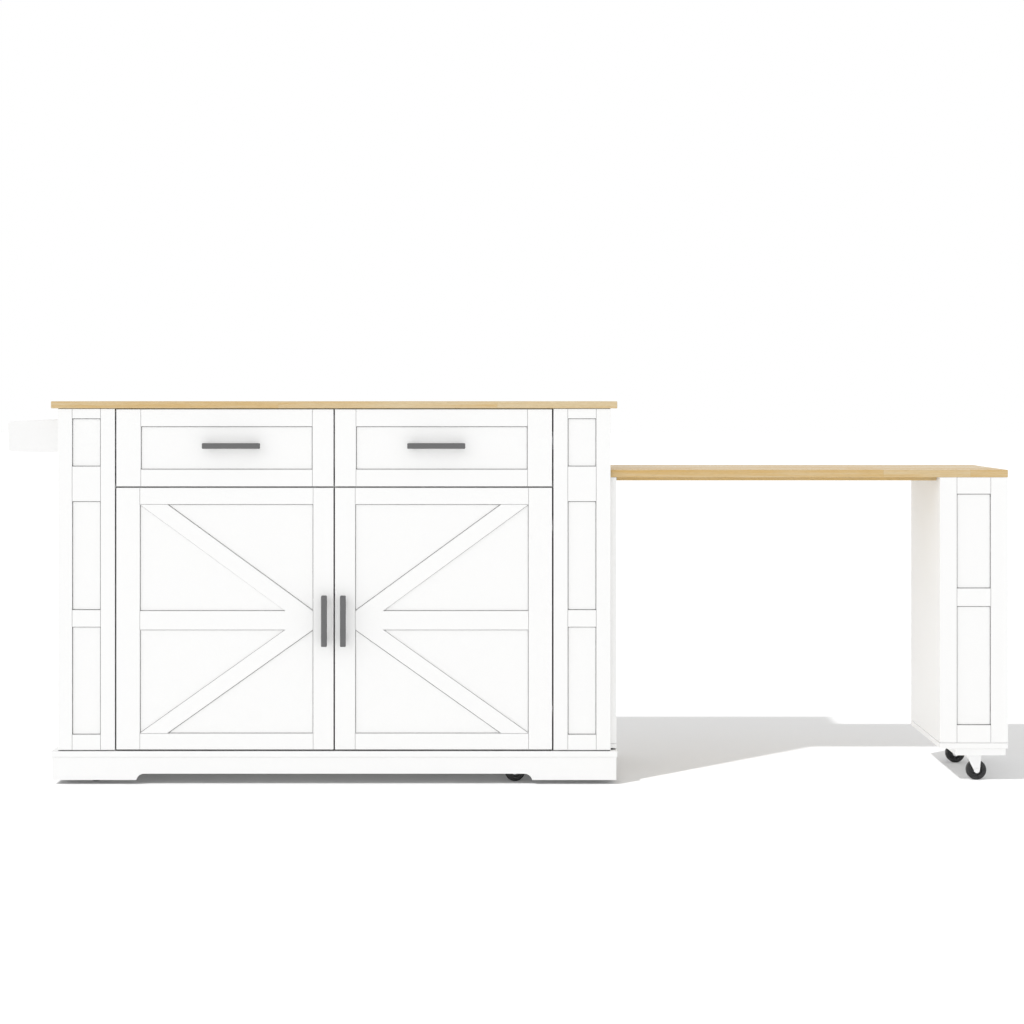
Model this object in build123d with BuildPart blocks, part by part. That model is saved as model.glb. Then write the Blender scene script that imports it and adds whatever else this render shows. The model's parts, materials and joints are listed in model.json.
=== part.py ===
from build123d import *
import os

# A rolling kitchen island with a pull-out table leaf, in millimetres.
# X runs along the front from left to right, Y from front to back, Z up from the floor.
# The leaf is drawn pulled out. The origin is on the floor, under the middle of the outline.

os.makedirs("parts", exist_ok=True)

# Overall sizes
worktop_length = 1350.0
worktop_depth = 480.0
worktop_height = 914.0
leaf_length = 1051.0
worktop_thickness = 17.0
end_overhang = 16.0
front_overhang = 3.0
back_overhang = 12.0
top_ease = 2.0

# Board stock
side_thickness = 15.0
front_board_thickness = 12.0
trim_thickness = 5.0
back_thickness = 5.0
floor_thickness = 14.0
slot_floor_thickness = 15.0
slot_ceiling_thickness = 12.0
divider_thickness = 12.0
fit_gap = 1.0
glue_line = 0.1
trim_joint = 0.6
trim_ease = 0.5
groove_width = 1.5
groove_depth = 2.5
front_gap = 3.6

# Plinth
caster_height = 66.0
plinth_clearance = 11.0
plinth_thickness = 15.0
plinth_inset = 2.0
plinth_foot_length = 203.0
plinth_arch_rise = 15.0
plinth_arch_radius = 19.0
plinth_ease = 1.0

# Pilasters at the two ends of the front
pilaster_width = 136.0
pilaster_stile = 34.1
pilaster_foot_gap = 2.4
pilaster_top_rail = 24.0
pilaster_bottom_rail = 39.0
pilaster_middle_rail = 40.0
pilaster_middle_rise = 4.5
pilaster_upper_rail_rise = 51.0
pilaster_upper_rail_drop = 32.0

# Doors
door_outer_stile = 56.0
door_inner_stile = 48.4
door_top_rail = 39.1
door_bottom_rail = 38.1
door_middle_rail = 44.7
door_middle_drop = 4.0
brace_cut = 65.0
brace_root = 1.0

# Concealed hinges
hinge_inset = 21.5
hinge_end_distance = 95.0
hinge_cup_radius = 17.4
hinge_cup_depth = 9.8
hinge_cup_wall = 1.6
hinge_cup_fit = 0.1
hinge_flange = (30.0, 1.2, 56.0)
hinge_arm_gap = 0.5
hinge_arm = (26.0, 11.0, 14.0)
hinge_plate = (2.0, 46.0, 40.0)
hinge_plate_setback = 24.0

# Drawers
drawer_outer_stile = 58.3
drawer_inner_stile = 50.2
drawer_top_rail = 40.7
drawer_bottom_rail = 40.1
drawer_top_gap = 2.2
drawer_box_lift = 4.0
drawer_box_height = 100.0
drawer_board = 12.0
drawer_bottom_thickness = 5.0
drawer_bottom_inset = 8.0
drawer_rear_gap = 30.0
drawer_joint = 0.2
slide_space = 12.7
slide_channel = (8.0, 42.0)
slide_wall = 1.5
slide_runner = (34.0, 22.0)
slide_runner_plate = 2.5
slide_gap = 0.6

# Bar handles
handle_projection = 28.0
handle_bar_width = 13.6
handle_bar_depth = 8.0
handle_bar_ease = 2.6
handle_post_radius = 4.5
handle_post_inset = 17.0
drawer_handle_length = 138.0
drawer_handle_offset = 244.0
drawer_handle_rise = 4.8
door_handle_length = 122.0
door_handle_offset = 22.5
door_handle_drop = 3.8

# Shelf behind the doors
shelf_rise = 330.0
shelf_thickness = 15.0
shelf_end_gap = 1.0
shelf_front_setback = 30.0
shelf_pin_radius = 2.5
shelf_pin_fit = 0.05
shelf_pin_reach = 9.0
shelf_pin_sink = 9.0
shelf_pin_inset = 60.0
shelf_hole_pitch = 32.0
shelf_hole_rows = 5

# Table leaf and its slot
leaf_drop = 164.0
leaf_thickness = 18.0
leaf_engagement = 99.0
leaf_side_gap = 3.0
leaf_lift = 0.3
slot_headroom = 4.0
batten_thickness = 9.0
batten_width = 30.0
batten_inset = 45.0
batten_end_gap = 2.0
batten_lift = 0.5
glide_width = 20.0
glide_gap = 1.5
stop_width = 14.0
stop_gap = 0.5
stop_margin = 12.0
glide_start_gap = 20.0
end_panel_thickness = 15.0
end_panel_setback = 1.0
end_panel_foot = 11.0
end_panel_floor_gap = 4.0
notch_gap = 1.5
closed_gap = 1.0

# Leg under the leaf's far end
leg_width = 163.0
leg_setback = 1.0
leg_back_setback = 21.0
leg_stile = 41.0
leg_top_rail = 39.5
leg_middle_rail = 42.5
leg_middle_rise = 30.3
leg_bottom_rail = 41.7
leg_foot_thickness = 14.0
leg_foot_step = (1.4, 2.0)
leg_base_thickness = 17.0
leg_base_inset = 4.5
leg_base_left_inset = 38.0

# Swivel casters
wheel_radius = 24.0
wheel_width = 18.0
wheel_ease = 3.0
wheel_dish_radius = 15.0
wheel_dish_depth = 2.0
hub_radius = 7.0
hub_gap = 0.3
axle_radius = 3.0
running_fit = 0.08
caster_trail = 16.0
fork_gap = 1.0
fork_wall = 3.0
fork_crown_front = 11.0
fork_crown_back = 27.0
fork_end_radius = 7.0
crown_clearance = 3.0
swivel_disc_radius = 15.0
swivel_disc_thickness = 2.7
swivel_lift = 0.3
stem_radius = 5.0
stem_length = 11.0
stem_end_gap = 1.0
caster_left_inset = 114.0
caster_right_inset = 228.0
caster_swing_gap = 5.0
leg_caster_front_inset = 59.0
leg_caster_back_inset = 81.5

# Rack on the left end
rack_reach = 125.5
rack_root_height = 80.0
rack_tip_height = 73.0
rack_tip_rise = 2.5
rack_drop = 43.5
rack_bracket_thickness = 15.0
rack_joint = 0.3
rack_corner_radius = 9.0
rack_front_setback = 18.0
rack_shelf_thickness = 12.0
rack_shelf_width = 85.0
rack_shelf_rise = 8.0
towel_bar_radius = 8.0
towel_bar_inset = 17.0
towel_bar_rise = 52.0

# Main levels, from the floor up
floor_top_z = caster_height + floor_thickness
top_z = worktop_height - worktop_thickness
leaf_top_z = worktop_height - leaf_drop
leaf_z = leaf_top_z - leaf_thickness
slot_floor_top_z = leaf_z - batten_thickness - batten_lift
slot_floor_z = slot_floor_top_z - slot_floor_thickness
slot_ceiling_z = leaf_top_z + slot_headroom
slot_ceiling_top_z = slot_ceiling_z + slot_ceiling_thickness
door_z = (floor_top_z + front_gap, slot_floor_z)
drawer_z = (slot_floor_z + front_gap, top_z - drawer_top_gap)
door_middle_z = sum(door_z) / 2 - door_middle_drop
leg_foot_top_z = caster_height + leg_base_thickness + leg_foot_thickness

# Main planes along the depth, from front to back
front_y = -(worktop_depth - handle_projection + front_overhang) / 2
face_y = front_y + front_overhang
board_y = face_y + trim_thickness
inner_y = board_y + front_board_thickness
back_y = front_y + worktop_depth
body_back_y = back_y - back_overhang
inner_back_y = body_back_y - back_thickness
leaf_y = (inner_y + leaf_side_gap, inner_back_y - leaf_side_gap)
carcass_y = (inner_y + fit_gap, inner_back_y)

# Distances from the cabinet's centre plane
top_half = worktop_length / 2
body_half = top_half - end_overhang
side_inner = body_half - side_thickness
opening_half = body_half - pilaster_width
front_near = front_gap / 2
front_far = opening_half - front_gap
bay_outer = opening_half + side_thickness

# Planes along the length
extended_length = worktop_length - end_overhang - leaf_engagement + leaf_length
cabinet_x = (body_half + rack_reach + top_half - extended_length) / 2
leaf_tail_x = cabinet_x + body_half - leaf_engagement
leaf_right_x = leaf_tail_x + leaf_length
leg_x = (leaf_right_x - leg_width, leaf_right_x)
end_panel_x = (cabinet_x + body_half, cabinet_x + body_half + end_panel_thickness)
leg_y = (leaf_y[0] + leg_setback, leaf_y[1] - leg_back_setback)
full_x = (cabinet_x - top_half, cabinet_x + top_half)
full_y = (front_y, back_y)
plinth_x = (full_x[0] + plinth_inset, full_x[1] - plinth_inset)
plinth_y = (front_y + plinth_inset, back_y - plinth_inset)
batten_y = (
    (leaf_y[0] + batten_inset, leaf_y[0] + batten_inset + batten_width),
    (leaf_y[1] - batten_inset - batten_width, leaf_y[1] - batten_inset),
)
sides = ((-1, "left"), (1, "right"))


def beside(side, near, far):
    """X span between two distances from the cabinet's centre, on its left (-1) or right (1)."""
    ends = (cabinet_x + side * near, cabinet_x + side * far)
    return min(ends), max(ends)


def middle(span):
    """Middle of a span."""
    return (span[0] + span[1]) / 2


def board(x_span, y_span, z_span, mode=Mode.ADD):
    """A square-cut board that fills its three spans."""
    with Locations((middle(x_span), middle(y_span), middle(z_span))):
        Box(x_span[1] - x_span[0], y_span[1] - y_span[0], z_span[1] - z_span[0], mode=mode)


def patch(x_span, y_span, mode=Mode.ADD):
    """A rectangle in a sketch, from its spans along the sketch's two axes."""
    with Locations((middle(x_span), middle(y_span))):
        Rectangle(x_span[1] - x_span[0], y_span[1] - y_span[0], mode=mode)


def outline(points):
    """A straight-sided face in a sketch, through its corner points."""
    with BuildLine() as edge:
        Polyline(*points, close=True)
    make_face(edge.edges())


def corners(x_span, z_span):
    """The four corner points of an upright rectangle."""
    return [
        (x_span[0], z_span[0]),
        (x_span[1], z_span[0]),
        (x_span[1], z_span[1]),
        (x_span[0], z_span[1]),
    ]


def front_plane(y):
    """An upright sketch plane at a depth, facing the front, with local axes X and Z."""
    return Plane.XZ.offset(-y)


def lay_trim(x_marks, rails, back_y_of_trim):
    """Two stiles and the rails between them, laid on the face of a front board."""
    left, left_inner, right_inner, right = x_marks
    z_span = (rails[0][0], rails[-1][1])
    with BuildSketch(front_plane(back_y_of_trim)) as boards:
        patch((left, left_inner - trim_joint / 2), z_span)
        patch((right_inner + trim_joint / 2, right), z_span)
        for rail in rails:
            patch((left_inner + trim_joint / 2, right_inner - trim_joint / 2), rail)
    extrude(boards.sketch, amount=trim_thickness - glue_line)


def ease_front(part):
    """Take the sharp edge off everything on the foremost face of a piece."""
    front = part.faces().filter_by(Axis.Y).group_by(Axis.Y)[0]
    chamfer(front.edges(), length=trim_ease)


def cut_grooves(outlines, y):
    """A narrow shadow groove in a front board, just inside the outline of each recess."""
    with BuildSketch(front_plane(y)) as grooves:
        for points in outlines:
            outline(points)
        offset(amount=-groove_width, kind=Kind.INTERSECTION, mode=Mode.SUBTRACT)
    extrude(grooves.sketch, amount=-groove_depth, mode=Mode.SUBTRACT)


def recesses(x_marks, rails):
    """Corner points of the recess between each pair of neighbouring rails."""
    pairs = zip(rails[:-1], rails[1:])
    return [corners(x_marks[1:3], (low[1], high[0])) for low, high in pairs]


def stem_holes(places, underside_z):
    """Blind holes in a board's underside for the caster stems."""
    with BuildSketch(Plane.XY.offset(underside_z)) as holes:
        with Locations(*places):
            Circle(stem_radius + running_fit)
    extrude(holes.sketch, amount=stem_length + stem_end_gap, mode=Mode.SUBTRACT)


# Caster places, each with the way its wheel trails. A turning wheel passes clear of the plinth
caster_depth_inset = plinth_thickness + caster_trail + wheel_radius + caster_swing_gap
front_caster_y = plinth_y[0] + caster_depth_inset
back_caster_y = plinth_y[1] - caster_depth_inset
left_caster_x = full_x[0] + caster_left_inset
right_caster_x = full_x[1] - caster_right_inset
cabinet_casters = {
    "front_left": (left_caster_x, front_caster_y, -1),
    "front_right": (right_caster_x, front_caster_y, -1),
    "back_left": (left_caster_x, back_caster_y, -1),
    "back_right": (right_caster_x, back_caster_y, -1),
}
leg_casters = {
    "leg_front": (middle(leg_x), leg_y[0] + leg_caster_front_inset, 1),
    "leg_back": (middle(leg_x), leg_y[1] - leg_caster_back_inset, 1),
}

# Worktop
with BuildPart() as worktop:
    board(full_x, full_y, (top_z, worktop_height))
    fillet(worktop.edges(), radius=top_ease)
worktop.part.label = "worktop"
export_step(worktop.part, "parts/worktop.step")

# Floor panel, over the plinth, with the sockets for four casters
with BuildPart() as floor_panel:
    board(full_x, full_y, (caster_height, floor_top_z))
    fillet(floor_panel.faces().sort_by(Axis.Z)[-1].edges(), radius=plinth_ease)
    chamfer(floor_panel.faces().sort_by(Axis.Z)[0].edges(), length=trim_ease)
    stem_holes([place[:2] for place in cabinet_casters.values()], caster_height)
floor_panel.part.label = "floor_panel"
export_step(floor_panel.part, "parts/floor_panel.step")

# Plinth rails under the floor panel, front and back, each with a low arch between its two feet
plinth_z = (plinth_clearance, caster_height)
arch_z = (plinth_clearance, plinth_clearance + plinth_arch_rise)
arch_drop = plinth_arch_radius - plinth_arch_rise
arch_side = (plinth_arch_radius**2 - arch_drop**2) ** 0.5
arch_half = top_half - plinth_foot_length - arch_side
rail_backs = (("plinth_front", plinth_y[0] + plinth_thickness), ("plinth_back", plinth_y[1]))
for name, rail_back_y in rail_backs:
    with BuildPart() as plinth_rail:
        with BuildSketch(front_plane(rail_back_y)):
            patch(plinth_x, plinth_z)
            patch((cabinet_x - arch_half, cabinet_x + arch_half), arch_z, Mode.SUBTRACT)
            for side, _ in sides:
                with Locations((cabinet_x + side * arch_half, arch_z[1] - plinth_arch_radius)):
                    Circle(plinth_arch_radius, mode=Mode.SUBTRACT)
        extrude(amount=plinth_thickness)
        upright = plinth_rail.edges().filter_by(Axis.Z)
        fillet(upright, radius=plinth_ease)
    plinth_rail.part.label = name
    export_step(plinth_rail.part, f"parts/{name}.step")

# Plinth ends, between the two rails
with BuildPart() as plinth_ends:
    for side, _ in sides:
        board(
            beside(side, top_half - plinth_inset - plinth_thickness, top_half - plinth_inset),
            (plinth_y[0] + plinth_thickness, plinth_y[1] - plinth_thickness),
            plinth_z,
        )
plinth_ends.part.label = "plinth_ends"
export_step(plinth_ends.part, "parts/plinth_ends.step")

# Left side, one board from the floor panel to the worktop
with BuildPart() as left_side:
    board(beside(-1, side_inner, body_half), (inner_y, body_back_y), (floor_top_z, top_z))
left_side.part.label = "left_side"
export_step(left_side.part, "parts/left_side.step")

# Right side, in two boards that leave the leaf's slot open between them
for name, z_span in (
    ("lower_right_side", (floor_top_z, slot_floor_z)),
    ("upper_right_side", (slot_ceiling_top_z, top_z)),
):
    with BuildPart() as right_side:
        board(beside(1, side_inner, body_half), (inner_y, body_back_y), z_span)
    right_side.part.label = name
    export_step(right_side.part, f"parts/{name}.step")

# Back panel
with BuildPart() as back_panel:
    board(
        beside(1, -side_inner, side_inner),
        (inner_back_y, body_back_y),
        (floor_top_z, top_z),
    )
back_panel.part.label = "back_panel"
export_step(back_panel.part, "parts/back_panel.step")

# Floor and ceiling of the slot that takes the leaf
for name, z_span in (
    ("slot_floor", (slot_floor_z, slot_floor_top_z)),
    ("slot_ceiling", (slot_ceiling_z, slot_ceiling_top_z)),
):
    with BuildPart() as slot_board:
        board(beside(1, -side_inner, body_half), carcass_y, z_span)
    slot_board.part.label = name
    export_step(slot_board.part, f"parts/{name}.step")

# Sides of the storage bay, drilled for the shelf pins
shelf_z = floor_top_z + shelf_rise
pin_rows_y = (carcass_y[0] + shelf_pin_inset, carcass_y[1] - shelf_pin_inset)
pin_z = shelf_z - shelf_pin_radius
with BuildPart() as bay_sides:
    for side, _ in sides:
        board(beside(side, opening_half, bay_outer), carcass_y, (floor_top_z, slot_floor_z))
        with BuildSketch(Plane.YZ.offset(cabinet_x + side * opening_half)):
            for row_y in pin_rows_y:
                with Locations((row_y, pin_z)):
                    with GridLocations(0, shelf_hole_pitch, 1, shelf_hole_rows):
                        Circle(shelf_pin_radius + shelf_pin_fit)
        extrude(amount=side * (shelf_pin_sink + shelf_pin_fit), mode=Mode.SUBTRACT)
bay_sides.part.label = "bay_sides"
export_step(bay_sides.part, "parts/bay_sides.step")

# Shelf, resting on four pins
with BuildPart() as shelf:
    board(
        beside(1, shelf_end_gap - opening_half, opening_half - shelf_end_gap),
        (carcass_y[0] + shelf_front_setback, carcass_y[1] - fit_gap),
        (shelf_z, shelf_z + shelf_thickness),
    )
shelf.part.label = "shelf"
export_step(shelf.part, "parts/shelf.step")

with BuildPart() as shelf_pins:
    for side, _ in sides:
        with BuildSketch(Plane.YZ.offset(cabinet_x + side * (opening_half + shelf_pin_sink))):
            with Locations(*[(row_y, pin_z) for row_y in pin_rows_y]):
                Circle(shelf_pin_radius)
        extrude(amount=-side * (shelf_pin_sink + shelf_pin_reach))
shelf_pins.part.label = "shelf_pins"
export_step(shelf_pins.part, "parts/shelf_pins.step")

# Upright boards beside and between the drawers
upper_z = (slot_ceiling_top_z, top_z)
with BuildPart() as drawer_dividers:
    board(beside(1, -divider_thickness / 2, divider_thickness / 2), carcass_y, upper_z)
    for side, _ in sides:
        board(beside(side, opening_half, bay_outer), carcass_y, upper_z)
drawer_dividers.part.label = "drawer_dividers"
export_step(drawer_dividers.part, "parts/drawer_dividers.step")

# Pilasters: a board each, with stiles and rails laid on it
pilaster_middle_z = door_middle_z + pilaster_middle_rise
pilaster_rails = (
    (floor_top_z + pilaster_foot_gap, floor_top_z + pilaster_bottom_rail),
    (pilaster_middle_z - pilaster_middle_rail / 2, pilaster_middle_z + pilaster_middle_rail / 2),
    (slot_floor_z - pilaster_upper_rail_drop, slot_floor_z + pilaster_upper_rail_rise),
    (top_z - pilaster_top_rail, top_z - fit_gap),
)


def pilaster_marks(side):
    """X of the edges of a pilaster's two stiles, from left to right."""
    left, right = beside(side, opening_half, body_half)
    return left, left + pilaster_stile, right - pilaster_stile, right


with BuildPart() as pilasters:
    for side, _ in sides:
        board(beside(side, opening_half, body_half), (board_y, inner_y), (floor_top_z, top_z))
    for side, _ in sides:
        cut_grooves(recesses(pilaster_marks(side), pilaster_rails), board_y)
pilasters.part.label = "pilasters"
export_step(pilasters.part, "parts/pilasters.step")

with BuildPart() as pilaster_trims:
    for side, _ in sides:
        lay_trim(pilaster_marks(side), pilaster_rails, board_y - glue_line)
    ease_front(pilaster_trims.part)
pilaster_trims.part.label = "pilaster_trims"
export_step(pilaster_trims.part, "parts/pilaster_trims.step")

# Doors, set between the pilasters
door_opening_z = (door_z[0] + door_bottom_rail, door_z[1] - door_top_rail)
door_middle = (door_middle_z - door_middle_rail / 2, door_middle_z + door_middle_rail / 2)
stile_outer_at = front_far - door_outer_stile
stile_inner_at = front_near + door_inner_stile
hinge_levels = (door_z[0] + hinge_end_distance, door_z[1] - hinge_end_distance)


def brace_points(side, corner_z, root_z):
    """Corners of a slanted brace, from a door's outer corner down to its middle rail."""
    return [
        (cabinet_x + side * stile_outer_at, corner_z),
        (cabinet_x + side * (stile_outer_at - brace_cut), corner_z),
        (cabinet_x + side * stile_inner_at, root_z),
        (cabinet_x + side * (stile_inner_at + brace_cut), root_z),
    ]


def door_recesses(side):
    """Corner points of the four three-cornered recesses in a door."""
    found = []
    for corner_z, root_z in ((door_opening_z[1], door_middle[1]), (door_opening_z[0], door_middle[0])):
        outer_top, brace_top, inner_root, brace_root_end = brace_points(side, corner_z, root_z)
        found.append([outer_top, brace_root_end, (outer_top[0], root_z)])
        found.append([brace_top, inner_root, (inner_root[0], corner_z)])
    return found


def hinge_places(side):
    """X and Z of the two hinge cups of a door."""
    return [(cabinet_x + side * (front_far - hinge_inset), level) for level in hinge_levels]


for side, word in sides:
    with BuildPart() as door_panel:
        board(beside(side, front_near, front_far), (board_y, inner_y), door_z)
        cut_grooves(door_recesses(side), board_y)
        with BuildSketch(front_plane(inner_y)):
            with Locations(*hinge_places(side)):
                Circle(hinge_cup_radius + hinge_cup_fit)
        extrude(amount=hinge_cup_depth + hinge_cup_fit, mode=Mode.SUBTRACT)
    door_panel.part.label = f"{word}_door_panel"
    export_step(door_panel.part, f"parts/{word}_door_panel.step")

    inner_x = beside(side, stile_inner_at + trim_joint / 2, stile_outer_at - trim_joint / 2)
    with BuildPart() as door_trim:
        with BuildSketch(front_plane(board_y - glue_line)):
            patch(beside(side, front_near, stile_inner_at - trim_joint / 2), door_z)
            patch(beside(side, stile_outer_at + trim_joint / 2, front_far), door_z)
            patch(inner_x, (door_z[0], door_opening_z[0]))
            patch(inner_x, (door_opening_z[1], door_z[1]))
            patch(inner_x, door_middle)
            for away, rail_z, root_z in (
                (1, door_opening_z[1], door_middle[1]),
                (-1, door_opening_z[0], door_middle[0]),
            ):
                outline(brace_points(side, rail_z - away * trim_joint, root_z - away * brace_root))
            patch(
                beside(side, stile_inner_at - trim_joint / 2, stile_inner_at + trim_joint / 2),
                door_z,
                Mode.SUBTRACT,
            )
        extrude(amount=trim_thickness - glue_line)
        ease_front(door_trim.part)
    door_trim.part.label = f"{word}_door_trim"
    export_step(door_trim.part, f"parts/{word}_door_trim.step")

    with BuildPart() as hinge_cups:
        with BuildSketch(front_plane(inner_y)):
            with Locations(*hinge_places(side)):
                Circle(hinge_cup_radius)
        extrude(amount=hinge_cup_depth)
        with BuildSketch(front_plane(inner_y)):
            with Locations(*hinge_places(side)):
                RectangleRounded(hinge_flange[0], hinge_flange[2], hinge_flange[0] / 4)
        extrude(amount=-hinge_flange[1])
        with BuildSketch(front_plane(inner_y + hinge_flange[1])):
            with Locations(*hinge_places(side)):
                Circle(hinge_cup_radius - 2 * hinge_cup_wall)
        extrude(amount=hinge_cup_depth + hinge_flange[1] - hinge_cup_wall, mode=Mode.SUBTRACT)
    hinge_cups.part.label = f"{word}_hinge_cups"
    export_step(hinge_cups.part, f"parts/{word}_hinge_cups.step")

# Hinge arms and their plates, on the sides of the storage bay
arm_y = inner_y + hinge_flange[1] + hinge_arm_gap
plate_y = (inner_y + hinge_plate_setback, inner_y + hinge_plate_setback + hinge_plate[1])
plate_near = opening_half - hinge_plate[0]
with BuildPart() as hinge_arms:
    for side, _ in sides:
        for level in hinge_levels:
            arm_z = (level - hinge_arm[2] / 2, level + hinge_arm[2] / 2)
            plate_z = (level - hinge_plate[2] / 2, level + hinge_plate[2] / 2)
            board(beside(side, plate_near, opening_half), plate_y, plate_z)
            board(beside(side, plate_near - hinge_arm[1], plate_near), (arm_y, plate_y[1]), arm_z)
            board(
                beside(side, opening_half - hinge_arm[0], plate_near),
                (arm_y, arm_y + hinge_arm[1]),
                arm_z,
            )
hinge_arms.part.label = "hinge_arms"
export_step(hinge_arms.part, "parts/hinge_arms.step")


def build_handle(x, z, mount_y, length, lengthwise):
    """A rounded bar on two posts, across the front (X) or upright (Z)."""
    bar_x, bar_z = (length, handle_bar_width) if lengthwise == "X" else (handle_bar_width, length)
    bar_back_y = mount_y - handle_projection + handle_bar_depth
    reach = length / 2 - handle_post_inset
    with BuildPart() as handle:
        with BuildSketch(front_plane(bar_back_y)):
            with Locations((x, z)):
                RectangleRounded(bar_x, bar_z, handle_bar_ease)
        extrude(amount=handle_bar_depth)
        fillet(handle.faces().sort_by(Axis.Y)[0].edges(), radius=handle_bar_ease)
        with BuildSketch(front_plane(mount_y)):
            for way in (-reach, reach):
                place = (x + way, z) if lengthwise == "X" else (x, z + way)
                with Locations(place):
                    Circle(handle_post_radius)
        extrude(amount=handle_projection - handle_bar_depth)
    return handle


# Drawers: a front, a box of five boards behind it, and a runner on each side
drawer_middle_z = sum(drawer_z) / 2 + drawer_handle_rise
box_near = divider_thickness / 2 + slide_space
box_far = opening_half - slide_space
box_z = (slot_ceiling_top_z + drawer_box_lift, slot_ceiling_top_z + drawer_box_lift + drawer_box_height)
box_y = (inner_y + drawer_joint, inner_back_y - drawer_rear_gap)
slide_y = (carcass_y[0] + fit_gap, box_y[1])
slide_z = middle(box_z)
drawer_rails = (
    (drawer_z[0], drawer_z[0] + drawer_bottom_rail),
    (drawer_z[1] - drawer_top_rail, drawer_z[1]),
)


def drawer_marks(side):
    """X of the edges of a drawer front's two stiles, from left to right."""
    marks = (
        front_near,
        front_near + drawer_inner_stile,
        front_far - drawer_outer_stile,
        front_far,
    )
    return sorted(cabinet_x + side * mark for mark in marks)


def channel_points(wall_at, way):
    """Section of a slide's fixed channel, open away from the wall that carries it."""
    half = slide_channel[1] / 2
    mouth = wall_at + way * slide_channel[0]
    web = wall_at + way * slide_wall
    return [
        (wall_at, slide_z - half),
        (mouth, slide_z - half),
        (mouth, slide_z - half + slide_wall),
        (web, slide_z - half + slide_wall),
        (web, slide_z + half - slide_wall),
        (mouth, slide_z + half - slide_wall),
        (mouth, slide_z + half),
        (wall_at, slide_z + half),
    ]


def runner_points(box_at, way):
    """Section of a drawer's runner: a plate on the box and a nose inside the channel."""
    plate = box_at + way * slide_runner_plate
    nose = box_at + way * (slide_space - slide_wall - slide_gap)
    tall, low = (size / 2 for size in slide_runner)
    return [
        (box_at, slide_z - tall),
        (plate, slide_z - tall),
        (plate, slide_z - low),
        (nose, slide_z - low),
        (nose, slide_z + low),
        (plate, slide_z + low),
        (plate, slide_z + tall),
        (box_at, slide_z + tall),
    ]


for side, word in sides:
    with BuildPart() as drawer_front:
        board(beside(side, front_near, front_far), (board_y, inner_y), drawer_z)
        cut_grooves(recesses(drawer_marks(side), drawer_rails), board_y)
        lay_trim(drawer_marks(side), drawer_rails, board_y - glue_line)
        ease_front(drawer_front.part)
    drawer_front.part.label = f"{word}_drawer_front"
    export_step(drawer_front.part, f"parts/{word}_drawer_front.step")

    handle = build_handle(
        cabinet_x + side * drawer_handle_offset,
        drawer_middle_z,
        board_y,
        drawer_handle_length,
        "X",
    )
    handle.part.label = f"{word}_drawer_handle"
    export_step(handle.part, f"parts/{word}_drawer_handle.step")

    between = (box_near + drawer_board + drawer_joint, box_far - drawer_board - drawer_joint)
    bottom_z = (box_z[0] + drawer_bottom_inset, box_z[0] + drawer_bottom_inset + drawer_bottom_thickness)
    with BuildPart() as drawer_box:
        board(beside(side, box_near, box_near + drawer_board), box_y, box_z)
        board(beside(side, box_far - drawer_board, box_far), box_y, box_z)
        board(beside(side, *between), (box_y[0], box_y[0] + drawer_board), box_z)
        board(beside(side, *between), (box_y[1] - drawer_board, box_y[1]), box_z)
        board(
            beside(side, *between),
            (box_y[0] + drawer_board + drawer_joint, box_y[1] - drawer_board - drawer_joint),
            bottom_z,
        )
    drawer_box.part.label = f"{word}_drawer_box"
    export_step(drawer_box.part, f"parts/{word}_drawer_box.step")

    with BuildPart() as drawer_runners:
        with BuildSketch(front_plane(slide_y[1])):
            outline(runner_points(cabinet_x + side * box_near, -side))
            outline(runner_points(cabinet_x + side * box_far, side))
        extrude(amount=slide_y[1] - slide_y[0])
    drawer_runners.part.label = f"{word}_drawer_runners"
    export_step(drawer_runners.part, f"parts/{word}_drawer_runners.step")

    handle = build_handle(
        cabinet_x + side * door_handle_offset,
        middle(door_z) - door_handle_drop,
        face_y,
        door_handle_length,
        "Z",
    )
    handle.part.label = f"{word}_door_handle"
    export_step(handle.part, f"parts/{word}_door_handle.step")

with BuildPart() as drawer_slides:
    with BuildSketch(front_plane(slide_y[1])):
        for side, _ in sides:
            outline(channel_points(cabinet_x + side * divider_thickness / 2, side))
            outline(channel_points(cabinet_x + side * opening_half, -side))
    extrude(amount=slide_y[1] - slide_y[0])
drawer_slides.part.label = "drawer_slides"
export_step(drawer_slides.part, "parts/drawer_slides.step")

# Leaf, with the battens under it and a cleat under its tail
leaf_x = (leaf_tail_x, leaf_right_x)
with BuildPart() as leaf:
    board(leaf_x, leaf_y, (leaf_z, leaf_top_z))
    fillet(leaf.edges(), radius=top_ease)
leaf.part.label = "leaf"
export_step(leaf.part, "parts/leaf.step")

glide_y = (
    (batten_y[0][1] + glide_gap, batten_y[0][1] + glide_gap + glide_width),
    (batten_y[1][0] - glide_gap - glide_width, batten_y[1][0] - glide_gap),
)
stop_y = (glide_y[0][1] + stop_margin, glide_y[1][0] - stop_margin)
stop_x = (leaf_tail_x + top_ease, leaf_tail_x + top_ease + stop_width)
with BuildPart() as leaf_battens:
    for y_span in batten_y:
        board((end_panel_x[1] + batten_end_gap, leg_x[0]), y_span, (leaf_z - batten_thickness, leaf_z))
    board(stop_x, stop_y, (leaf_z - batten_thickness, leaf_z))
leaf_battens.part.label = "leaf_battens"
export_step(leaf_battens.part, "parts/leaf_battens.step")

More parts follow.
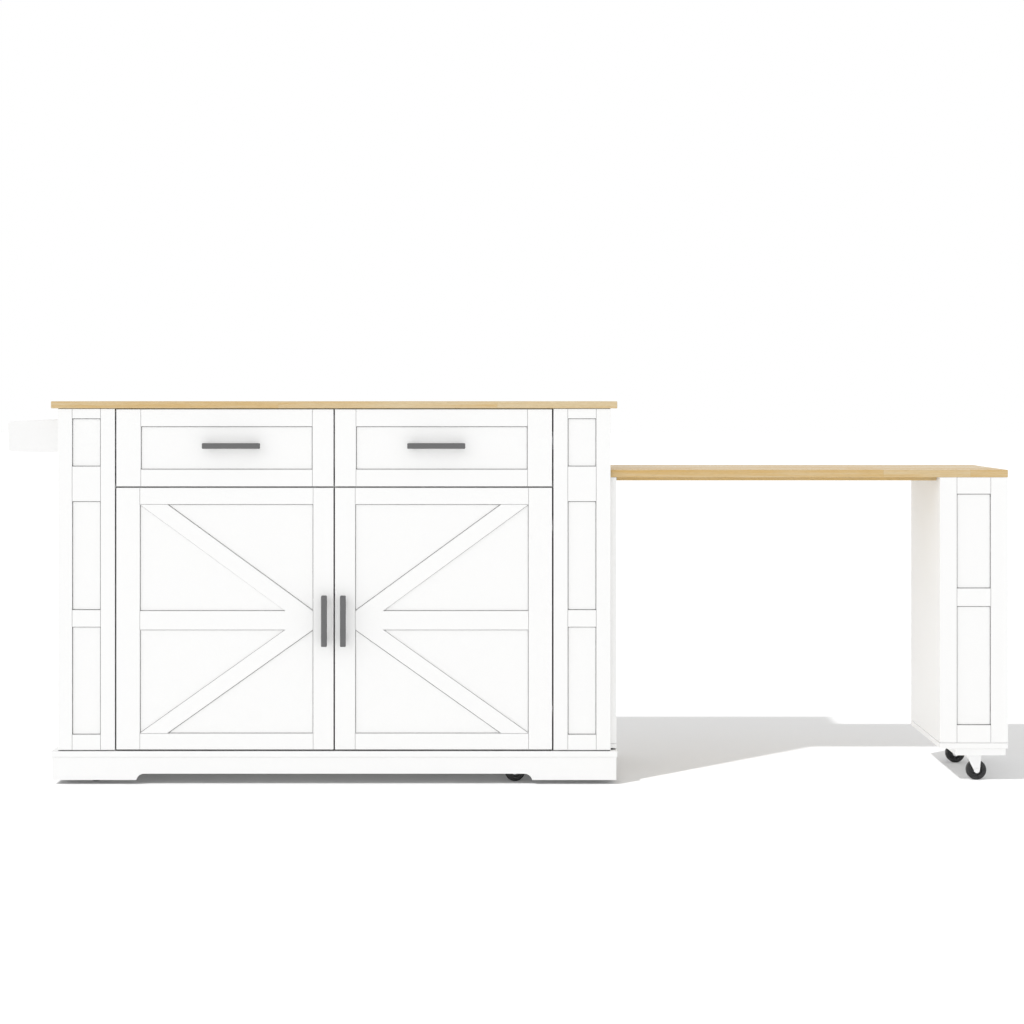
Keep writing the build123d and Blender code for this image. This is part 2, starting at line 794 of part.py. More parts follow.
# Glides that carry the leaf in its slot, and the block that its cleat meets when pulled out
leaf_travel = leg_x[0] - end_panel_x[1] - closed_gap
glide_x = (leaf_tail_x - leaf_travel - glide_start_gap, cabinet_x + body_half)
glide_z = (slot_floor_top_z, leaf_z - leaf_lift)
with BuildPart() as leaf_glides:
    for y_span in glide_y:
        board(glide_x, y_span, glide_z)
    board((stop_x[1] + stop_gap, stop_x[1] + stop_gap + stop_width), stop_y, glide_z)
leaf_glides.part.label = "leaf_glides"
export_step(leaf_glides.part, "parts/leaf_glides.step")

# End panel under the leaf where it leaves the cabinet, notched for the battens
end_panel_y = (leaf_y[0] + end_panel_setback, leaf_y[1] - end_panel_setback)
end_panel_z = (floor_top_z + end_panel_floor_gap, leaf_z - leaf_lift)
foot_top_z = end_panel_z[0] + end_panel_foot
with BuildPart() as end_panel:
    board(end_panel_x, end_panel_y, (end_panel_z[0], foot_top_z - trim_joint))
    board(end_panel_x, end_panel_y, (foot_top_z, end_panel_z[1]))
    for y_span in batten_y:
        board(
            end_panel_x,
            (y_span[0] - notch_gap, y_span[1] + notch_gap),
            (slot_floor_top_z, end_panel_z[1]),
            Mode.SUBTRACT,
        )
end_panel.part.label = "end_panel"
export_step(end_panel.part, "parts/end_panel.step")

# Leg: two sides, a back, a trimmed front, a foot board and a caster base
leg_z = (leg_foot_top_z, leaf_z)
leg_board_y = leg_y[0] + trim_thickness
leg_inner_y = leg_board_y + front_board_thickness
leg_back_y = leg_y[1] - front_board_thickness
leg_between_x = (leg_x[0] + side_thickness, leg_x[1] - side_thickness)
leg_middle_z = middle(leg_z) + leg_middle_rise
leg_marks = (leg_x[0], leg_x[0] + leg_stile, leg_x[1] - leg_stile, leg_x[1])
leg_rails = (
    (leg_z[0], leg_z[0] + leg_bottom_rail),
    (leg_middle_z - leg_middle_rail / 2, leg_middle_z + leg_middle_rail / 2),
    (leg_z[1] - leg_top_rail, leg_z[1]),
)
with BuildPart() as leg_sides:
    for x_span in ((leg_x[0], leg_between_x[0]), (leg_between_x[1], leg_x[1])):
        board(x_span, (leg_inner_y, leg_y[1]), leg_z)
leg_sides.part.label = "leg_sides"
export_step(leg_sides.part, "parts/leg_sides.step")

with BuildPart() as leg_back:
    board(leg_between_x, (leg_back_y, leg_y[1]), leg_z)
leg_back.part.label = "leg_back"
export_step(leg_back.part, "parts/leg_back.step")

with BuildPart() as leg_front:
    board(leg_x, (leg_board_y, leg_inner_y), leg_z)
    cut_grooves(recesses(leg_marks, leg_rails), leg_board_y)
    lay_trim(leg_marks, leg_rails, leg_board_y - glue_line)
    ease_front(leg_front.part)
leg_front.part.label = "leg_front"
export_step(leg_front.part, "parts/leg_front.step")

leg_foot_z = leg_foot_top_z - leg_foot_thickness
with BuildPart() as leg_foot:
    board(leg_x, leg_y, (leg_foot_z, leg_foot_top_z))
    chamfer(leg_foot.faces().sort_by(Axis.Z)[0].edges(), length=trim_ease)
    with BuildSketch(Plane.XY.offset(leg_foot_top_z)) as step:
        patch(leg_x, leg_y)
        offset(amount=-leg_foot_step[1], kind=Kind.INTERSECTION, mode=Mode.SUBTRACT)
    extrude(step.sketch, amount=-leg_foot_step[0], mode=Mode.SUBTRACT)
leg_foot.part.label = "leg_foot"
export_step(leg_foot.part, "parts/leg_foot.step")

with BuildPart() as leg_base:
    board(
        (leg_x[0] + leg_base_left_inset, leg_x[1] - leg_base_inset),
        (leg_y[0] + leg_base_inset, leg_y[1] - leg_base_inset),
        (caster_height, leg_foot_z),
    )
    chamfer(leg_base.edges(), length=trim_ease)
    stem_holes([place[:2] for place in leg_casters.values()], caster_height)
leg_base.part.label = "leg_base"
export_step(leg_base.part, "parts/leg_base.step")

# Casters: a fork that swivels on its stem, and a wheel that turns on the fork's axle
fork_half = wheel_width / 2 + fork_gap + fork_wall
disc_top_z = caster_height - swivel_lift
crown_top_z = disc_top_z - swivel_disc_thickness
crown_z = 2 * wheel_radius + crown_clearance
for place_name, (x, y, heading) in {**cabinet_casters, **leg_casters}.items():
    axle_x = x + heading * caster_trail
    with BuildPart() as fork:
        with BuildSketch(front_plane(y)):
            with BuildLine():
                crown_start = (x - heading * fork_crown_front, crown_top_z)
                crown_end = (x + heading * fork_crown_back, crown_top_z)
                near_end = (axle_x - heading * fork_end_radius, wheel_radius)
                far_end = (axle_x + heading * fork_end_radius, wheel_radius)
                low_end = (axle_x, wheel_radius - fork_end_radius)
                Polyline(near_end, crown_start, crown_end, far_end)
                ThreePointArc(far_end, low_end, near_end)
            make_face()
        extrude(amount=fork_half, both=True)
        with Locations((axle_x, y, crown_z / 2)):
            Box(
                4 * wheel_radius,
                wheel_width + 2 * fork_gap,
                crown_z,
                mode=Mode.SUBTRACT,
            )
        with BuildSketch(front_plane(y)):
            with Locations((axle_x, wheel_radius)):
                Circle(axle_radius)
        extrude(amount=fork_half, both=True)
        with BuildSketch(Plane.XY.offset(crown_top_z)):
            with Locations((x, y)):
                Circle(swivel_disc_radius)
        extrude(amount=swivel_disc_thickness)
        with BuildSketch(Plane.XY.offset(disc_top_z)):
            with Locations((x, y)):
                Circle(stem_radius)
        extrude(amount=swivel_lift + stem_length)
    fork.part.label = f"{place_name}_fork"
    export_step(fork.part, f"parts/{place_name}_fork.step")

    with BuildPart() as wheel:
        with BuildSketch(front_plane(y)):
            with Locations((axle_x, wheel_radius)):
                Circle(wheel_radius)
        extrude(amount=wheel_width / 2, both=True)
        rims = wheel.edges().filter_by(GeomType.CIRCLE)
        fillet(rims, radius=wheel_ease)
        for face_at in (-1, 1):
            with BuildSketch(front_plane(y + face_at * wheel_width / 2)):
                with Locations((axle_x, wheel_radius)):
                    Circle(wheel_dish_radius)
            extrude(amount=face_at * wheel_dish_depth, mode=Mode.SUBTRACT)
        with BuildSketch(front_plane(y)):
            with Locations((axle_x, wheel_radius)):
                Circle(hub_radius)
        extrude(amount=wheel_width / 2 + fork_gap - hub_gap, both=True)
        with BuildSketch(front_plane(y)):
            with Locations((axle_x, wheel_radius)):
                Circle(axle_radius + running_fit)
        extrude(amount=fork_half, both=True, mode=Mode.SUBTRACT)
    wheel.part.label = f"{place_name}_wheel"
    export_step(wheel.part, f"parts/{place_name}_wheel.step")

# Rack on the left end: two brackets, a shelf board between them and a towel bar
rack_root_x = cabinet_x - body_half
rack_top_z = worktop_height - rack_drop
rack_low_z = rack_top_z - rack_root_height
tip_low_z = rack_low_z + rack_tip_rise
bracket_y = (
    (inner_y + rack_front_setback, inner_y + rack_front_setback + rack_bracket_thickness),
    (inner_back_y - rack_front_setback - rack_bracket_thickness, inner_back_y - rack_front_setback),
)
between_y = (bracket_y[0][1] + rack_joint, bracket_y[1][0] - rack_joint)
bar_x = rack_root_x - rack_reach + towel_bar_inset
bar_z = rack_low_z + towel_bar_rise
with BuildPart() as rack_brackets:
    for y_span in bracket_y:
        with BuildSketch(front_plane(y_span[1])) as bracket:
            outline(
                [
                    (rack_root_x, rack_low_z),
                    (rack_root_x, rack_top_z),
                    (rack_root_x - rack_reach, tip_low_z + rack_tip_height),
                    (rack_root_x - rack_reach, tip_low_z),
                ]
            )
            fillet(bracket.vertices().group_by(Axis.X)[0], radius=rack_corner_radius)
        extrude(amount=rack_bracket_thickness)
    outer_edges = rack_brackets.faces().filter_by(Axis.Y).edges().sort_by(Axis.X)
    free_edges = [edge for edge in outer_edges if edge.center().X < rack_root_x - fit_gap]
    chamfer(free_edges, length=trim_ease)
rack_brackets.part.label = "rack_brackets"
export_step(rack_brackets.part, "parts/rack_brackets.step")

shelf_low_z = rack_low_z + rack_shelf_rise
with BuildPart() as rack_shelf:
    board(
        (rack_root_x - rack_shelf_width, rack_root_x),
        between_y,
        (shelf_low_z, shelf_low_z + rack_shelf_thickness),
    )
rack_shelf.part.label = "rack_shelf"
export_step(rack_shelf.part, "parts/rack_shelf.step")

with BuildPart() as towel_bar:
    with BuildSketch(front_plane(between_y[1])):
        with Locations((bar_x, bar_z)):
            Circle(towel_bar_radius)
    extrude(amount=between_y[1] - between_y[0])
towel_bar.part.label = "towel_bar"
export_step(towel_bar.part, "parts/towel_bar.step")
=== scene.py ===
"""Finishes, fittings and studio of the rolling kitchen island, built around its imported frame."""

import functools
import json
import logging
import math
from collections.abc import Callable, Mapping, Sequence
from dataclasses import dataclass, field
from enum import StrEnum, auto

import bmesh
import bpy
from mathutils import Matrix, Vector


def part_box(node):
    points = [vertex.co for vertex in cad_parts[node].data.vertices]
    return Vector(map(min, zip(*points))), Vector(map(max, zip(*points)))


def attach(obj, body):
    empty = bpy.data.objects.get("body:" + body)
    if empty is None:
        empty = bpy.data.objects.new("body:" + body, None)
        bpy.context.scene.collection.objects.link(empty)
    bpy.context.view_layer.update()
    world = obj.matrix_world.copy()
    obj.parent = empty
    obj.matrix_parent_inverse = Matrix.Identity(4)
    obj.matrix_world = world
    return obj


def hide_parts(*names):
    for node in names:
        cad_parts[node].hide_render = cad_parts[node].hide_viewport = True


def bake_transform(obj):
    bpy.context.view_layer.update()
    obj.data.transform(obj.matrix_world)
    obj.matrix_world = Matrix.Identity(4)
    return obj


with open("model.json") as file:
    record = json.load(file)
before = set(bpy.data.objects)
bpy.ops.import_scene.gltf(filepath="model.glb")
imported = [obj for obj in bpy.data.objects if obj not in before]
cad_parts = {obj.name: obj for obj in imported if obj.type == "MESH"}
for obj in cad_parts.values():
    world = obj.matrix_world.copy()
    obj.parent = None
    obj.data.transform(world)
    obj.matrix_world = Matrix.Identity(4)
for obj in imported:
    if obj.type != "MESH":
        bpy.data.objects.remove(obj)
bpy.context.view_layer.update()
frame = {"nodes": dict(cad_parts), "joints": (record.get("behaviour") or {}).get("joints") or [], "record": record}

Color = tuple[float, float, float]
Point = tuple[float, float, float]
Radius = float | Callable[[float], float]
SHARP_ANGLE = math.radians(32)
MIX_SHARE, MIX_LOW, MIX_HIGH, MIX_RESULT = 0, 6, 7, 2
ROW_DRAW, TONE_DRAW, HEART_Y_DRAW, HEART_Z_DRAW = 3.0, 5.0, 21.0, 33.0
LEFT, RIGHT = Vector((-1, 0, 0)), Vector((1, 0, 0))
FORWARD, BACK = Vector((0, -1, 0)), Vector((0, 1, 0))
DOWN, UP = Vector((0, 0, -1)), Vector((0, 0, 1))
log = logging.getLogger("island")


class Slot(StrEnum):
    """The record's material slots."""

    WHITE_PAINT = auto()
    WHITE_BOARD = auto()
    RUBBERWOOD = auto()
    DRAWER_BOARD = auto()
    HANDLE_METAL = auto()
    BRIGHT_STEEL = auto()
    SLIDE_STEEL = auto()
    NYLON_GLIDE = auto()
    CASTER_PLASTIC = auto()
    WHEEL_RUBBER = auto()


class Wire:
    """A shader node's output, which takes part in sums as a number does."""

    def __init__(self, recipe: "Recipe", socket: bpy.types.NodeSocket) -> None:
        """Keeps the socket and the recipe that it belongs to."""
        self.recipe = recipe
        self.socket = socket

    def sum_with(self, operation: str, first: "Wire | float", second: "Wire | float" = 0.0) -> "Wire":
        """The result of a Math node, its operation by Blender's name."""
        return self.recipe.node("ShaderNodeMath", {"operation": operation}, {0: first, 1: second})

    def __add__(self, other: "Wire | float") -> "Wire":
        """The sum with a wire or a number."""
        return self.sum_with("ADD", self, other)

    __radd__ = __add__

    def __sub__(self, other: "Wire | float") -> "Wire":
        """What is left after taking a wire or a number away."""
        return self.sum_with("SUBTRACT", self, other)

    def __rsub__(self, other: float) -> "Wire":
        """A number less this wire."""
        return self.sum_with("SUBTRACT", other, self)

    def __mul__(self, other: "Wire | float") -> "Wire":
        """The product with a wire or a number."""
        return self.sum_with("MULTIPLY", self, other)

    __rmul__ = __mul__

    def __truediv__(self, other: "Wire | float") -> "Wire":
        """The share of a wire or a number."""
        return self.sum_with("DIVIDE", self, other)

    def over(self, edge: "Wire | float") -> "Wire":
        """1 where this wire is above the edge, and 0 elsewhere."""
        return self.sum_with("GREATER_THAN", self, edge)

    def under(self, edge: "Wire | float") -> "Wire":
        """1 where this wire is below the edge, and 0 elsewhere."""
        return self.sum_with("LESS_THAN", self, edge)

    def whole(self) -> "Wire":
        """The whole number at or below this wire."""
        return self.sum_with("FLOOR", self)

    def part(self) -> "Wire":
        """What is left above the whole number."""
        return self.sum_with("FRACT", self)

    def size(self) -> "Wire":
        """The wire without its sign."""
        return self.sum_with("ABSOLUTE", self)

    def root(self) -> "Wire":
        """The square root."""
        return self.sum_with("SQRT", self)

    def also(self, output: str) -> "Wire":
        """Another output of the same node."""
        return Wire(self.recipe, self.socket.node.outputs[output])


Value = Wire | float | tuple[float, ...]


class Recipe:
    """The node tree of one material, world or lamp."""

    def __init__(self, owner: bpy.types.ID) -> None:
        """Starts with an empty tree in the material, world or lamp that owns it."""
        owner.use_nodes = True
        self.tree = owner.node_tree
        self.tree.nodes.clear()

    def node(
        self,
        kind: str,
        settings: Mapping[str, object] | None = None,
        inputs: Mapping[str | int, Value] | None = None,
        output: str | int = 0,
    ) -> Wire:
        """Adds one node.

        Args:
            kind: Blender's type of the node.
            settings: The node's own settings, set first.
            inputs: Values or wires of its sockets, by name or number.
            output: The output to give back.

        Returns:
            That output.
        """
        made = self.tree.nodes.new(kind)
        for name, value in (settings or {}).items():
            setattr(made, name, value)
        for key, value in (inputs or {}).items():
            if isinstance(value, Wire):
                self.tree.links.new(value.socket, made.inputs[key])
            else:
                made.inputs[key].default_value = value
        outputs = made.outputs
        return Wire(self, outputs[output] if len(outputs) else made.inputs[0])

    def place(self) -> Wire:
        """The point of the surface in the island's own frame, in metres."""
        return self.node("ShaderNodeTexCoord", output="Object")

    def stretch(self, vector: Wire, by: Point) -> Wire:
        """The vector with each of its three parts multiplied."""
        return self.node("ShaderNodeVectorMath", {"operation": "MULTIPLY"}, {0: vector, 1: by})

    def shift(self, vector: Wire, by: Wire) -> Wire:
        """The sum of two vectors."""
        return self.node("ShaderNodeVectorMath", {"operation": "ADD"}, {0: vector, 1: by})

    def noise(self, vector: Wire, scale: float, detail: float = 2.0, rough: float = 0.5) -> Wire:
        """Smooth noise around a half: bumps to a metre, layers of finer noise, their strength."""
        inputs = {"Vector": vector, "Scale": scale, "Detail": detail, "Roughness": rough}
        return self.node("ShaderNodeTexNoise", {"normalize": True}, inputs)

    def grain(self, place: Wire, drift: Wire, layer: "Layer") -> Wire:
        """A layer of the wood's grain, with its start shifted."""
        drawn_out = self.shift(self.stretch(place, layer.along), drift)
        return self.noise(drawn_out, 1.0, layer.detail, layer.rough)

    def chance(self, vector: Wire) -> Wire:
        """A random number for each whole place."""
        return self.node("ShaderNodeTexWhiteNoise", {"noise_dimensions": "3D"}, {"Vector": vector})

    def point(self, x: Value, y: Value, z: Value) -> Wire:
        """A vector made from its three parts."""
        return self.node("ShaderNodeCombineXYZ", inputs={"X": x, "Y": y, "Z": z})

    def parts(self, vector: Wire) -> tuple[Wire, Wire, Wire]:
        """The three parts of a vector."""
        x = self.node("ShaderNodeSeparateXYZ", inputs={0: vector})
        return x, x.also("Y"), x.also("Z")

    def mix(self, share: Value, low: Value, high: Value) -> Wire:
        """A colour between two others."""
        inputs = {MIX_SHARE: share, MIX_LOW: low, MIX_HIGH: high}
        return self.node("ShaderNodeMix", {"data_type": "RGBA"}, inputs, output=MIX_RESULT)

    def bump(self, height: Wire, depth: float) -> Wire:
        """A normal that follows a height from 0 to 1, as deep as given in metres."""
        return self.node("ShaderNodeBump", inputs={"Height": height, "Distance": depth})

    def finish(self, surface: Wire, target: str = "ShaderNodeOutputMaterial") -> None:
        """Links a shader to the tree's end."""
        self.node(target, inputs={0: surface})


def placed(name: str, data: bpy.types.ID) -> bpy.types.Object:
    """A new object in the scene."""
    made = bpy.data.objects.new(name, data)
    bpy.context.scene.collection.objects.link(made)
    return made


def rgba(color: Color) -> tuple[float, float, float, float]:
    """A colour with full cover."""
    return (*color, 1.0)


def tinted(color: Color, by: float) -> tuple[float, float, float, float]:
    """A colour made lighter or darker by a share of itself."""
    return rgba(tuple(part * (1 + by) for part in color))


@dataclass(frozen=True)
class PaintedCreviceShade:
    """Painted shade: the colour darkened toward near-black where two faces stand close together, as ambient
    occlusion finds them.
    """

    reach: float = 0.007
    edge: float = 0.42
    strength: float = 4.5
    # The near-black that the painted shade reaches in the tightest joints.
    color: Color = (0.02, 0.02, 0.02)
    own_only: bool = False
    rays: int = 6

    def over(self, recipe: Recipe, tone: Wire) -> Wire:
        """The tone, with painted shade darkening it in the narrow joints.

        Args:
            recipe: The material in the making.
            tone: Its colour out in the open.

        Returns:
            The colour with painted shade in its joints.
        """
        settings = {"samples": self.rays, "only_local": self.own_only}
        reach = {"Distance": self.reach}
        openness = recipe.node("ShaderNodeAmbientOcclusion", settings, reach, output="AO")
        return recipe.mix((self.edge - openness) * self.strength, tone, rgba(self.color))


@dataclass(frozen=True)
class Finish:
    """A surface finish: a colour, and what the other finishes add to it."""

    name: str
    color: Color
    roughness: float = 0.5

    def sockets(self, recipe: Recipe) -> dict[str, Value]:
        """What feeds the surface shader. Each kind of finish makes its own."""
        raise NotImplementedError


@functools.cache
def material_of(finish: Finish) -> bpy.types.Material:
    """The material of a finish, made once.

    Args:
        finish: The finish to make.

    Returns:
        Its material.
    """
    made = bpy.data.materials.new(finish.name)
    recipe = Recipe(made)
    recipe.finish(recipe.node("ShaderNodeBsdfPrincipled", inputs=finish.sockets(recipe)))
    log.info("finish %s", finish.name)
    return made


@dataclass(frozen=True)
class SprayedPaint(Finish):
    """Satin paint sprayed on fibreboard, with a fine orange peel."""

    peel_pitch: float = 0.0016
    peel_depth: float = 0.00002
    tone_spread: float = 0.012
    # Painted shade, darkening the paint's colour where faces stand close together.
    painted_shade: PaintedCreviceShade = PaintedCreviceShade()
    cloud_scale: float = 3.5
    flow_scale: float = 22.0
    gloss_spread: float = 0.12
    refraction: float = 1.48

    def sockets(self, recipe: Recipe) -> dict[str, Value]:
        """White paint with faint clouds in its tone, painted shade in its joints, and a fine peel in its gloss."""
        place = recipe.place()
        clouds = recipe.noise(place, self.cloud_scale, detail=3.0)
        peel = recipe.noise(place, 1 / self.peel_pitch, rough=0.6)
        flow = recipe.noise(place, self.flow_scale)
        tone = recipe.mix(clouds, tinted(self.color, -self.tone_spread), rgba(self.color))
        return {
            # The colour carries painted shade in the joints and gaps.
            "Base Color": self.painted_shade.over(recipe, tone),
            "Roughness": self.roughness + (flow - 0.5) * self.gloss_spread,
            "Normal": recipe.bump(peel, self.peel_depth),
            "IOR": self.refraction,
        }


@dataclass(frozen=True)
class FacedBoard(Finish):
    """Chipboard with a matt printed facing, pebbled all over."""

    pebble_pitch: float = 0.0009
    pebble_depth: float = 0.00003
    streak: float = 0.02
    # Painted shade, darkening the facing's colour where faces stand close together.
    painted_shade: PaintedCreviceShade = PaintedCreviceShade()
    streak_along: Point = (6.0, 90.0, 90.0)
    gloss_spread: float = 0.1

    def sockets(self, recipe: Recipe) -> dict[str, Value]:
        """A matt facing with faint streaks, painted shade in its joints, and a pebbled sheen."""
        place = recipe.place()
        streaks = recipe.noise(recipe.stretch(place, self.streak_along), 1.0, detail=3.0)
        pebbles = recipe.noise(place, 1 / self.pebble_pitch, detail=1.0)
        tone = recipe.mix(streaks, tinted(self.color, -self.streak), tinted(self.color, self.streak))
        return {
            # The colour carries painted shade in the joints.
            "Base Color": self.painted_shade.over(recipe, tone),
            "Roughness": self.roughness + (pebbles - 0.5) * self.gloss_spread,
            "Normal": recipe.bump(pebbles, self.pebble_depth),
        }


@dataclass(frozen=True)
class Layer:
    """One layer of the wood's grain: noise drawn out along X, and its share in the tone."""

    along: Point
    detail: float
    rough: float = 0.5
    share: float = 0.0


@dataclass(frozen=True)
class Staves(Finish):
    """Oiled rubberwood glued up from finger-jointed staves that run along X.

    Each further stave of the row along the front edge is given by its start and its tone.
    """

    pale: Color = (0.70, 0.565, 0.352)
    front: float = 0.0
    width: float = 0.0433
    length: float = 0.46
    first_tone: float = 0.15
    front_staves: tuple[tuple[float, float], ...] = ()
    finger_pitch: float = 0.0042
    finger_length: float = 0.011
    glue_line: float = 0.00035
    row_spread: float = 7.0
    joint_start: float = 0.2
    joint_spread: float = 0.6
    front_spread: float = 17.0
    drift: Point = (0.37, 0.61, 0.23)
    figure: Layer = Layer((1.6, 26.0, 26.0), detail=4.0, rough=0.62, share=1.3)
    streak: Layer = Layer((7.0, 170.0, 170.0), detail=2.0, share=1.3)
    fibre: Layer = Layer((14.0, 520.0, 520.0), detail=3.0, rough=0.6, share=0.8)
    pore: Layer = Layer((75.0, 1500.0, 1500.0), detail=1.0, share=0.16)
    pore_edge: float = 0.62
    pore_contrast: float = 6.0
    pore_relief: float = 0.3
    seam_glue: float = 0.5
    joint_glue: float = 0.7
    glue_share: float = 0.35
    worn_darkening: float = -0.42
    underside_tone: float = 0.55
    facing_edge: float = 0.8
    ring_pitch: float = 0.0021
    ring_waver: float = 0.0016
    waver_scale: float = 160.0
    heart_spread_y: float = 0.06
    heart_spread_z: float = 0.05
    end_pore_scale: float = 1900.0
    end_pore_edge: float = 0.58
    end_pore_contrast: float = 5.0
    end_pore_darkening: float = -0.55
    end_darkening: float = -0.22
    end_dullness: float = 0.12
    gloss_spread: float = 0.2
    relief: float = 0.00005
    refraction: float = 1.46
    seed: float = 0.0

    def sockets(self, recipe: Recipe) -> dict[str, Value]:
        """Staves of different tones with grain, pores and finger joints, unoiled underneath."""
        place = recipe.place()
        x, y, z = recipe.parts(place)

        across = (y - self.front) / self.width
        row = across.whole()
        zigzag = (((y / self.finger_pitch).part() - 0.5).size() - 0.25) * self.finger_length
        along = x + zigzag
        row_start = recipe.chance(recipe.point(row, self.seed, ROW_DRAW)) * self.row_spread
        steps = along / self.length + row_start
        joint_draw = recipe.chance(recipe.point(steps.whole(), row, self.seed))
        past_joint = steps.part() - (joint_draw * self.joint_spread + self.joint_start)
        number = steps.whole() + past_joint.over(0.0)
        draw = recipe.chance(recipe.point(number, row, self.seed + TONE_DRAW))

        first_row = row.under(0.5)
        shown: Value = self.first_tone
        front_line: Value = 0.0
        last_tone = self.first_tone
        for start, next_tone in self.front_staves:
            shown = shown + x.over(start) * (next_tone - last_tone)
            front_line = front_line + (x - start).size().under(self.glue_line)
            last_tone = next_tone
        joint_line = (past_joint * self.length).size().under(self.glue_line)
        tone = draw + first_row * (shown - draw)
        joint_line = joint_line + first_row * (front_line - joint_line)
        number = number + first_row * (shown * self.front_spread - number)
        seam = ((across.part() - 0.5).size() - 0.5) * -self.width
        glue = seam.under(self.glue_line) * self.seam_glue + joint_line * self.joint_glue

        drift = recipe.stretch(recipe.point(number, row, number), self.drift)
        figure = recipe.grain(place, drift, self.figure)
        streak = recipe.grain(place, drift, self.streak)
        fibre = recipe.grain(place, drift, self.fibre)
        pores = (recipe.grain(place, drift, self.pore) - self.pore_edge) * self.pore_contrast
        facing, _, upward = recipe.parts(recipe.node("ShaderNodeTexCoord", output="Normal"))
        shade = tone + upward.under(-self.facing_edge) * self.underside_tone
        shade = shade + (figure - 0.5) * self.figure.share
        shade = shade + (streak - 0.5) * self.streak.share
        shade = shade + (fibre - 0.5) * self.fibre.share
        color = recipe.mix(shade, rgba(self.color), rgba(self.pale))
        wear = pores * self.pore.share + glue * self.glue_share
        worn = recipe.mix(wear, color, tinted(self.color, self.worn_darkening))

        end = facing.size().over(self.facing_edge)
        ends = self.end_grain(recipe, place, row, (across.part() - 0.5) * self.width, z)
        dullness = self.roughness + (fibre - 0.5) * self.gloss_spread
        return {
            "Base Color": recipe.mix(end, worn, ends),
            "Roughness": dullness + end * self.end_dullness,
            "Normal": recipe.bump(fibre - pores * self.pore_relief, self.relief),
            "IOR": self.refraction,
        }

    def end_grain(self, recipe: Recipe, place: Wire, row: Wire, beside: Wire, z: Wire) -> Wire:
        """The cut ends of the staves, with growth rings and open pores.

        Args:
            recipe: The material in the making.
            place: The point of the surface.
            row: The number of the stave's row.
            beside: How far the point lies from the middle of its row.
            z: The point's height.

        Returns:
            The colour of the cut ends.
        """
        draw_y = recipe.chance(recipe.point(row, self.seed, HEART_Y_DRAW))
        draw_z = recipe.chance(recipe.point(row, self.seed, HEART_Z_DRAW))
        sideways = beside + (draw_y - 0.5) * self.heart_spread_y
        upward = (z / self.width).part() * self.width + draw_z * self.heart_spread_z
        away = (sideways * sideways + upward * upward).root()
        waver = (recipe.noise(place, self.waver_scale) - 0.5) * self.ring_waver
        rings = ((away + waver) / self.ring_pitch).part()
        pore = recipe.noise(place, self.end_pore_scale, detail=1.0)
        pores = (pore - self.end_pore_edge) * self.end_pore_contrast
        dark, pale = (tinted(color, self.end_darkening) for color in (self.color, self.pale))
        ends = recipe.mix(rings, dark, pale)
        return recipe.mix(pores, ends, tinted(self.color, self.end_pore_darkening))


@dataclass(frozen=True)
class Metal(Finish):
    """Metal with fine lines left by its making, plated or under a satin coat."""

    line_stretch: Point = (900.0, 900.0, 900.0)
    line_depth: float = 0.000006
    mottle: float = 0.1
    mottle_scale: float = 45.0
    gloss_spread: float = 0.16
    metallic: float = 1.0

    def sockets(self, recipe: Recipe) -> dict[str, Value]:
        """A metal surface with fine lines and a mottled gloss."""
        place = recipe.place()
        lines = recipe.noise(recipe.stretch(place, self.line_stretch), 1.0, detail=3.0, rough=0.6)
        mottle = recipe.noise(place, self.mottle_scale, detail=3.0)
        tone = recipe.mix(mottle, tinted(self.color, -self.mottle), tinted(self.color, self.mottle))
        return {
            "Base Color": tone,
            "Metallic": self.metallic,
            "Roughness": self.roughness + (lines - 0.5) * self.gloss_spread,
            "Normal": recipe.bump(lines, self.line_depth),
        }


@dataclass(frozen=True)
class Moulded(Finish):
    """A moulded plastic or rubber, with the grain of its mould."""

    grain_pitch: float = 0.0006
    grain_depth: float = 0.00003
    dust: float = 0.0
    dust_color: Color = (0.35, 0.34, 0.32)
    dust_edge: float = 0.45
    cloud_scale: float = 130.0
    gloss_spread: float = 0.14

    def sockets(self, recipe: Recipe) -> dict[str, Value]:
        """A moulded surface, grained, with a trace of dust where it has any."""
        place = recipe.place()
        grain = recipe.noise(place, 1 / self.grain_pitch)
        clouds = recipe.noise(place, self.cloud_scale, detail=4.0, rough=0.65)
        dusty = (clouds - self.dust_edge) * self.dust
        tone = recipe.mix(dusty, rgba(self.color), rgba(self.dust_color))
        return {
            "Base Color": tone,
            "Roughness": self.roughness + (clouds - 0.5) * self.gloss_spread,
            "Normal": recipe.bump(grain, self.grain_depth),
        }


OILED_DARK = (0.63, 0.41, 0.145)
# Painted light: a paler copy of the oiled dark tone, lifting the rubberwood battens that sit in the leaf's shade.
SHADE_LIFTED_RUBBERWOOD_DARK = (0.64, 0.45, 0.19)
OILED_ROUGHNESS = 0.42
PAINT_WHITE = (0.93, 0.93, 0.925)
RACK_WHITE = (0.905, 0.905, 0.90)
PAINT_ROUGHNESS = 0.42
# Paint of the moving fronts. Its painted shade in the joints sees only their own piece.
MOVING_PAINT = SprayedPaint(
    "satin_white_paint_on_fronts",
    PAINT_WHITE,
    PAINT_ROUGHNESS,
    painted_shade=PaintedCreviceShade(edge=0.40, strength=3.2, own_only=True),
)
RACK_PAINT = SprayedPaint("satin_white_paint_on_rack", RACK_WHITE, PAINT_ROUGHNESS)
HUB_PLASTIC = Moulded("black_hub_plastic", (0.018, 0.018, 0.019), 0.34, dust=0.12)

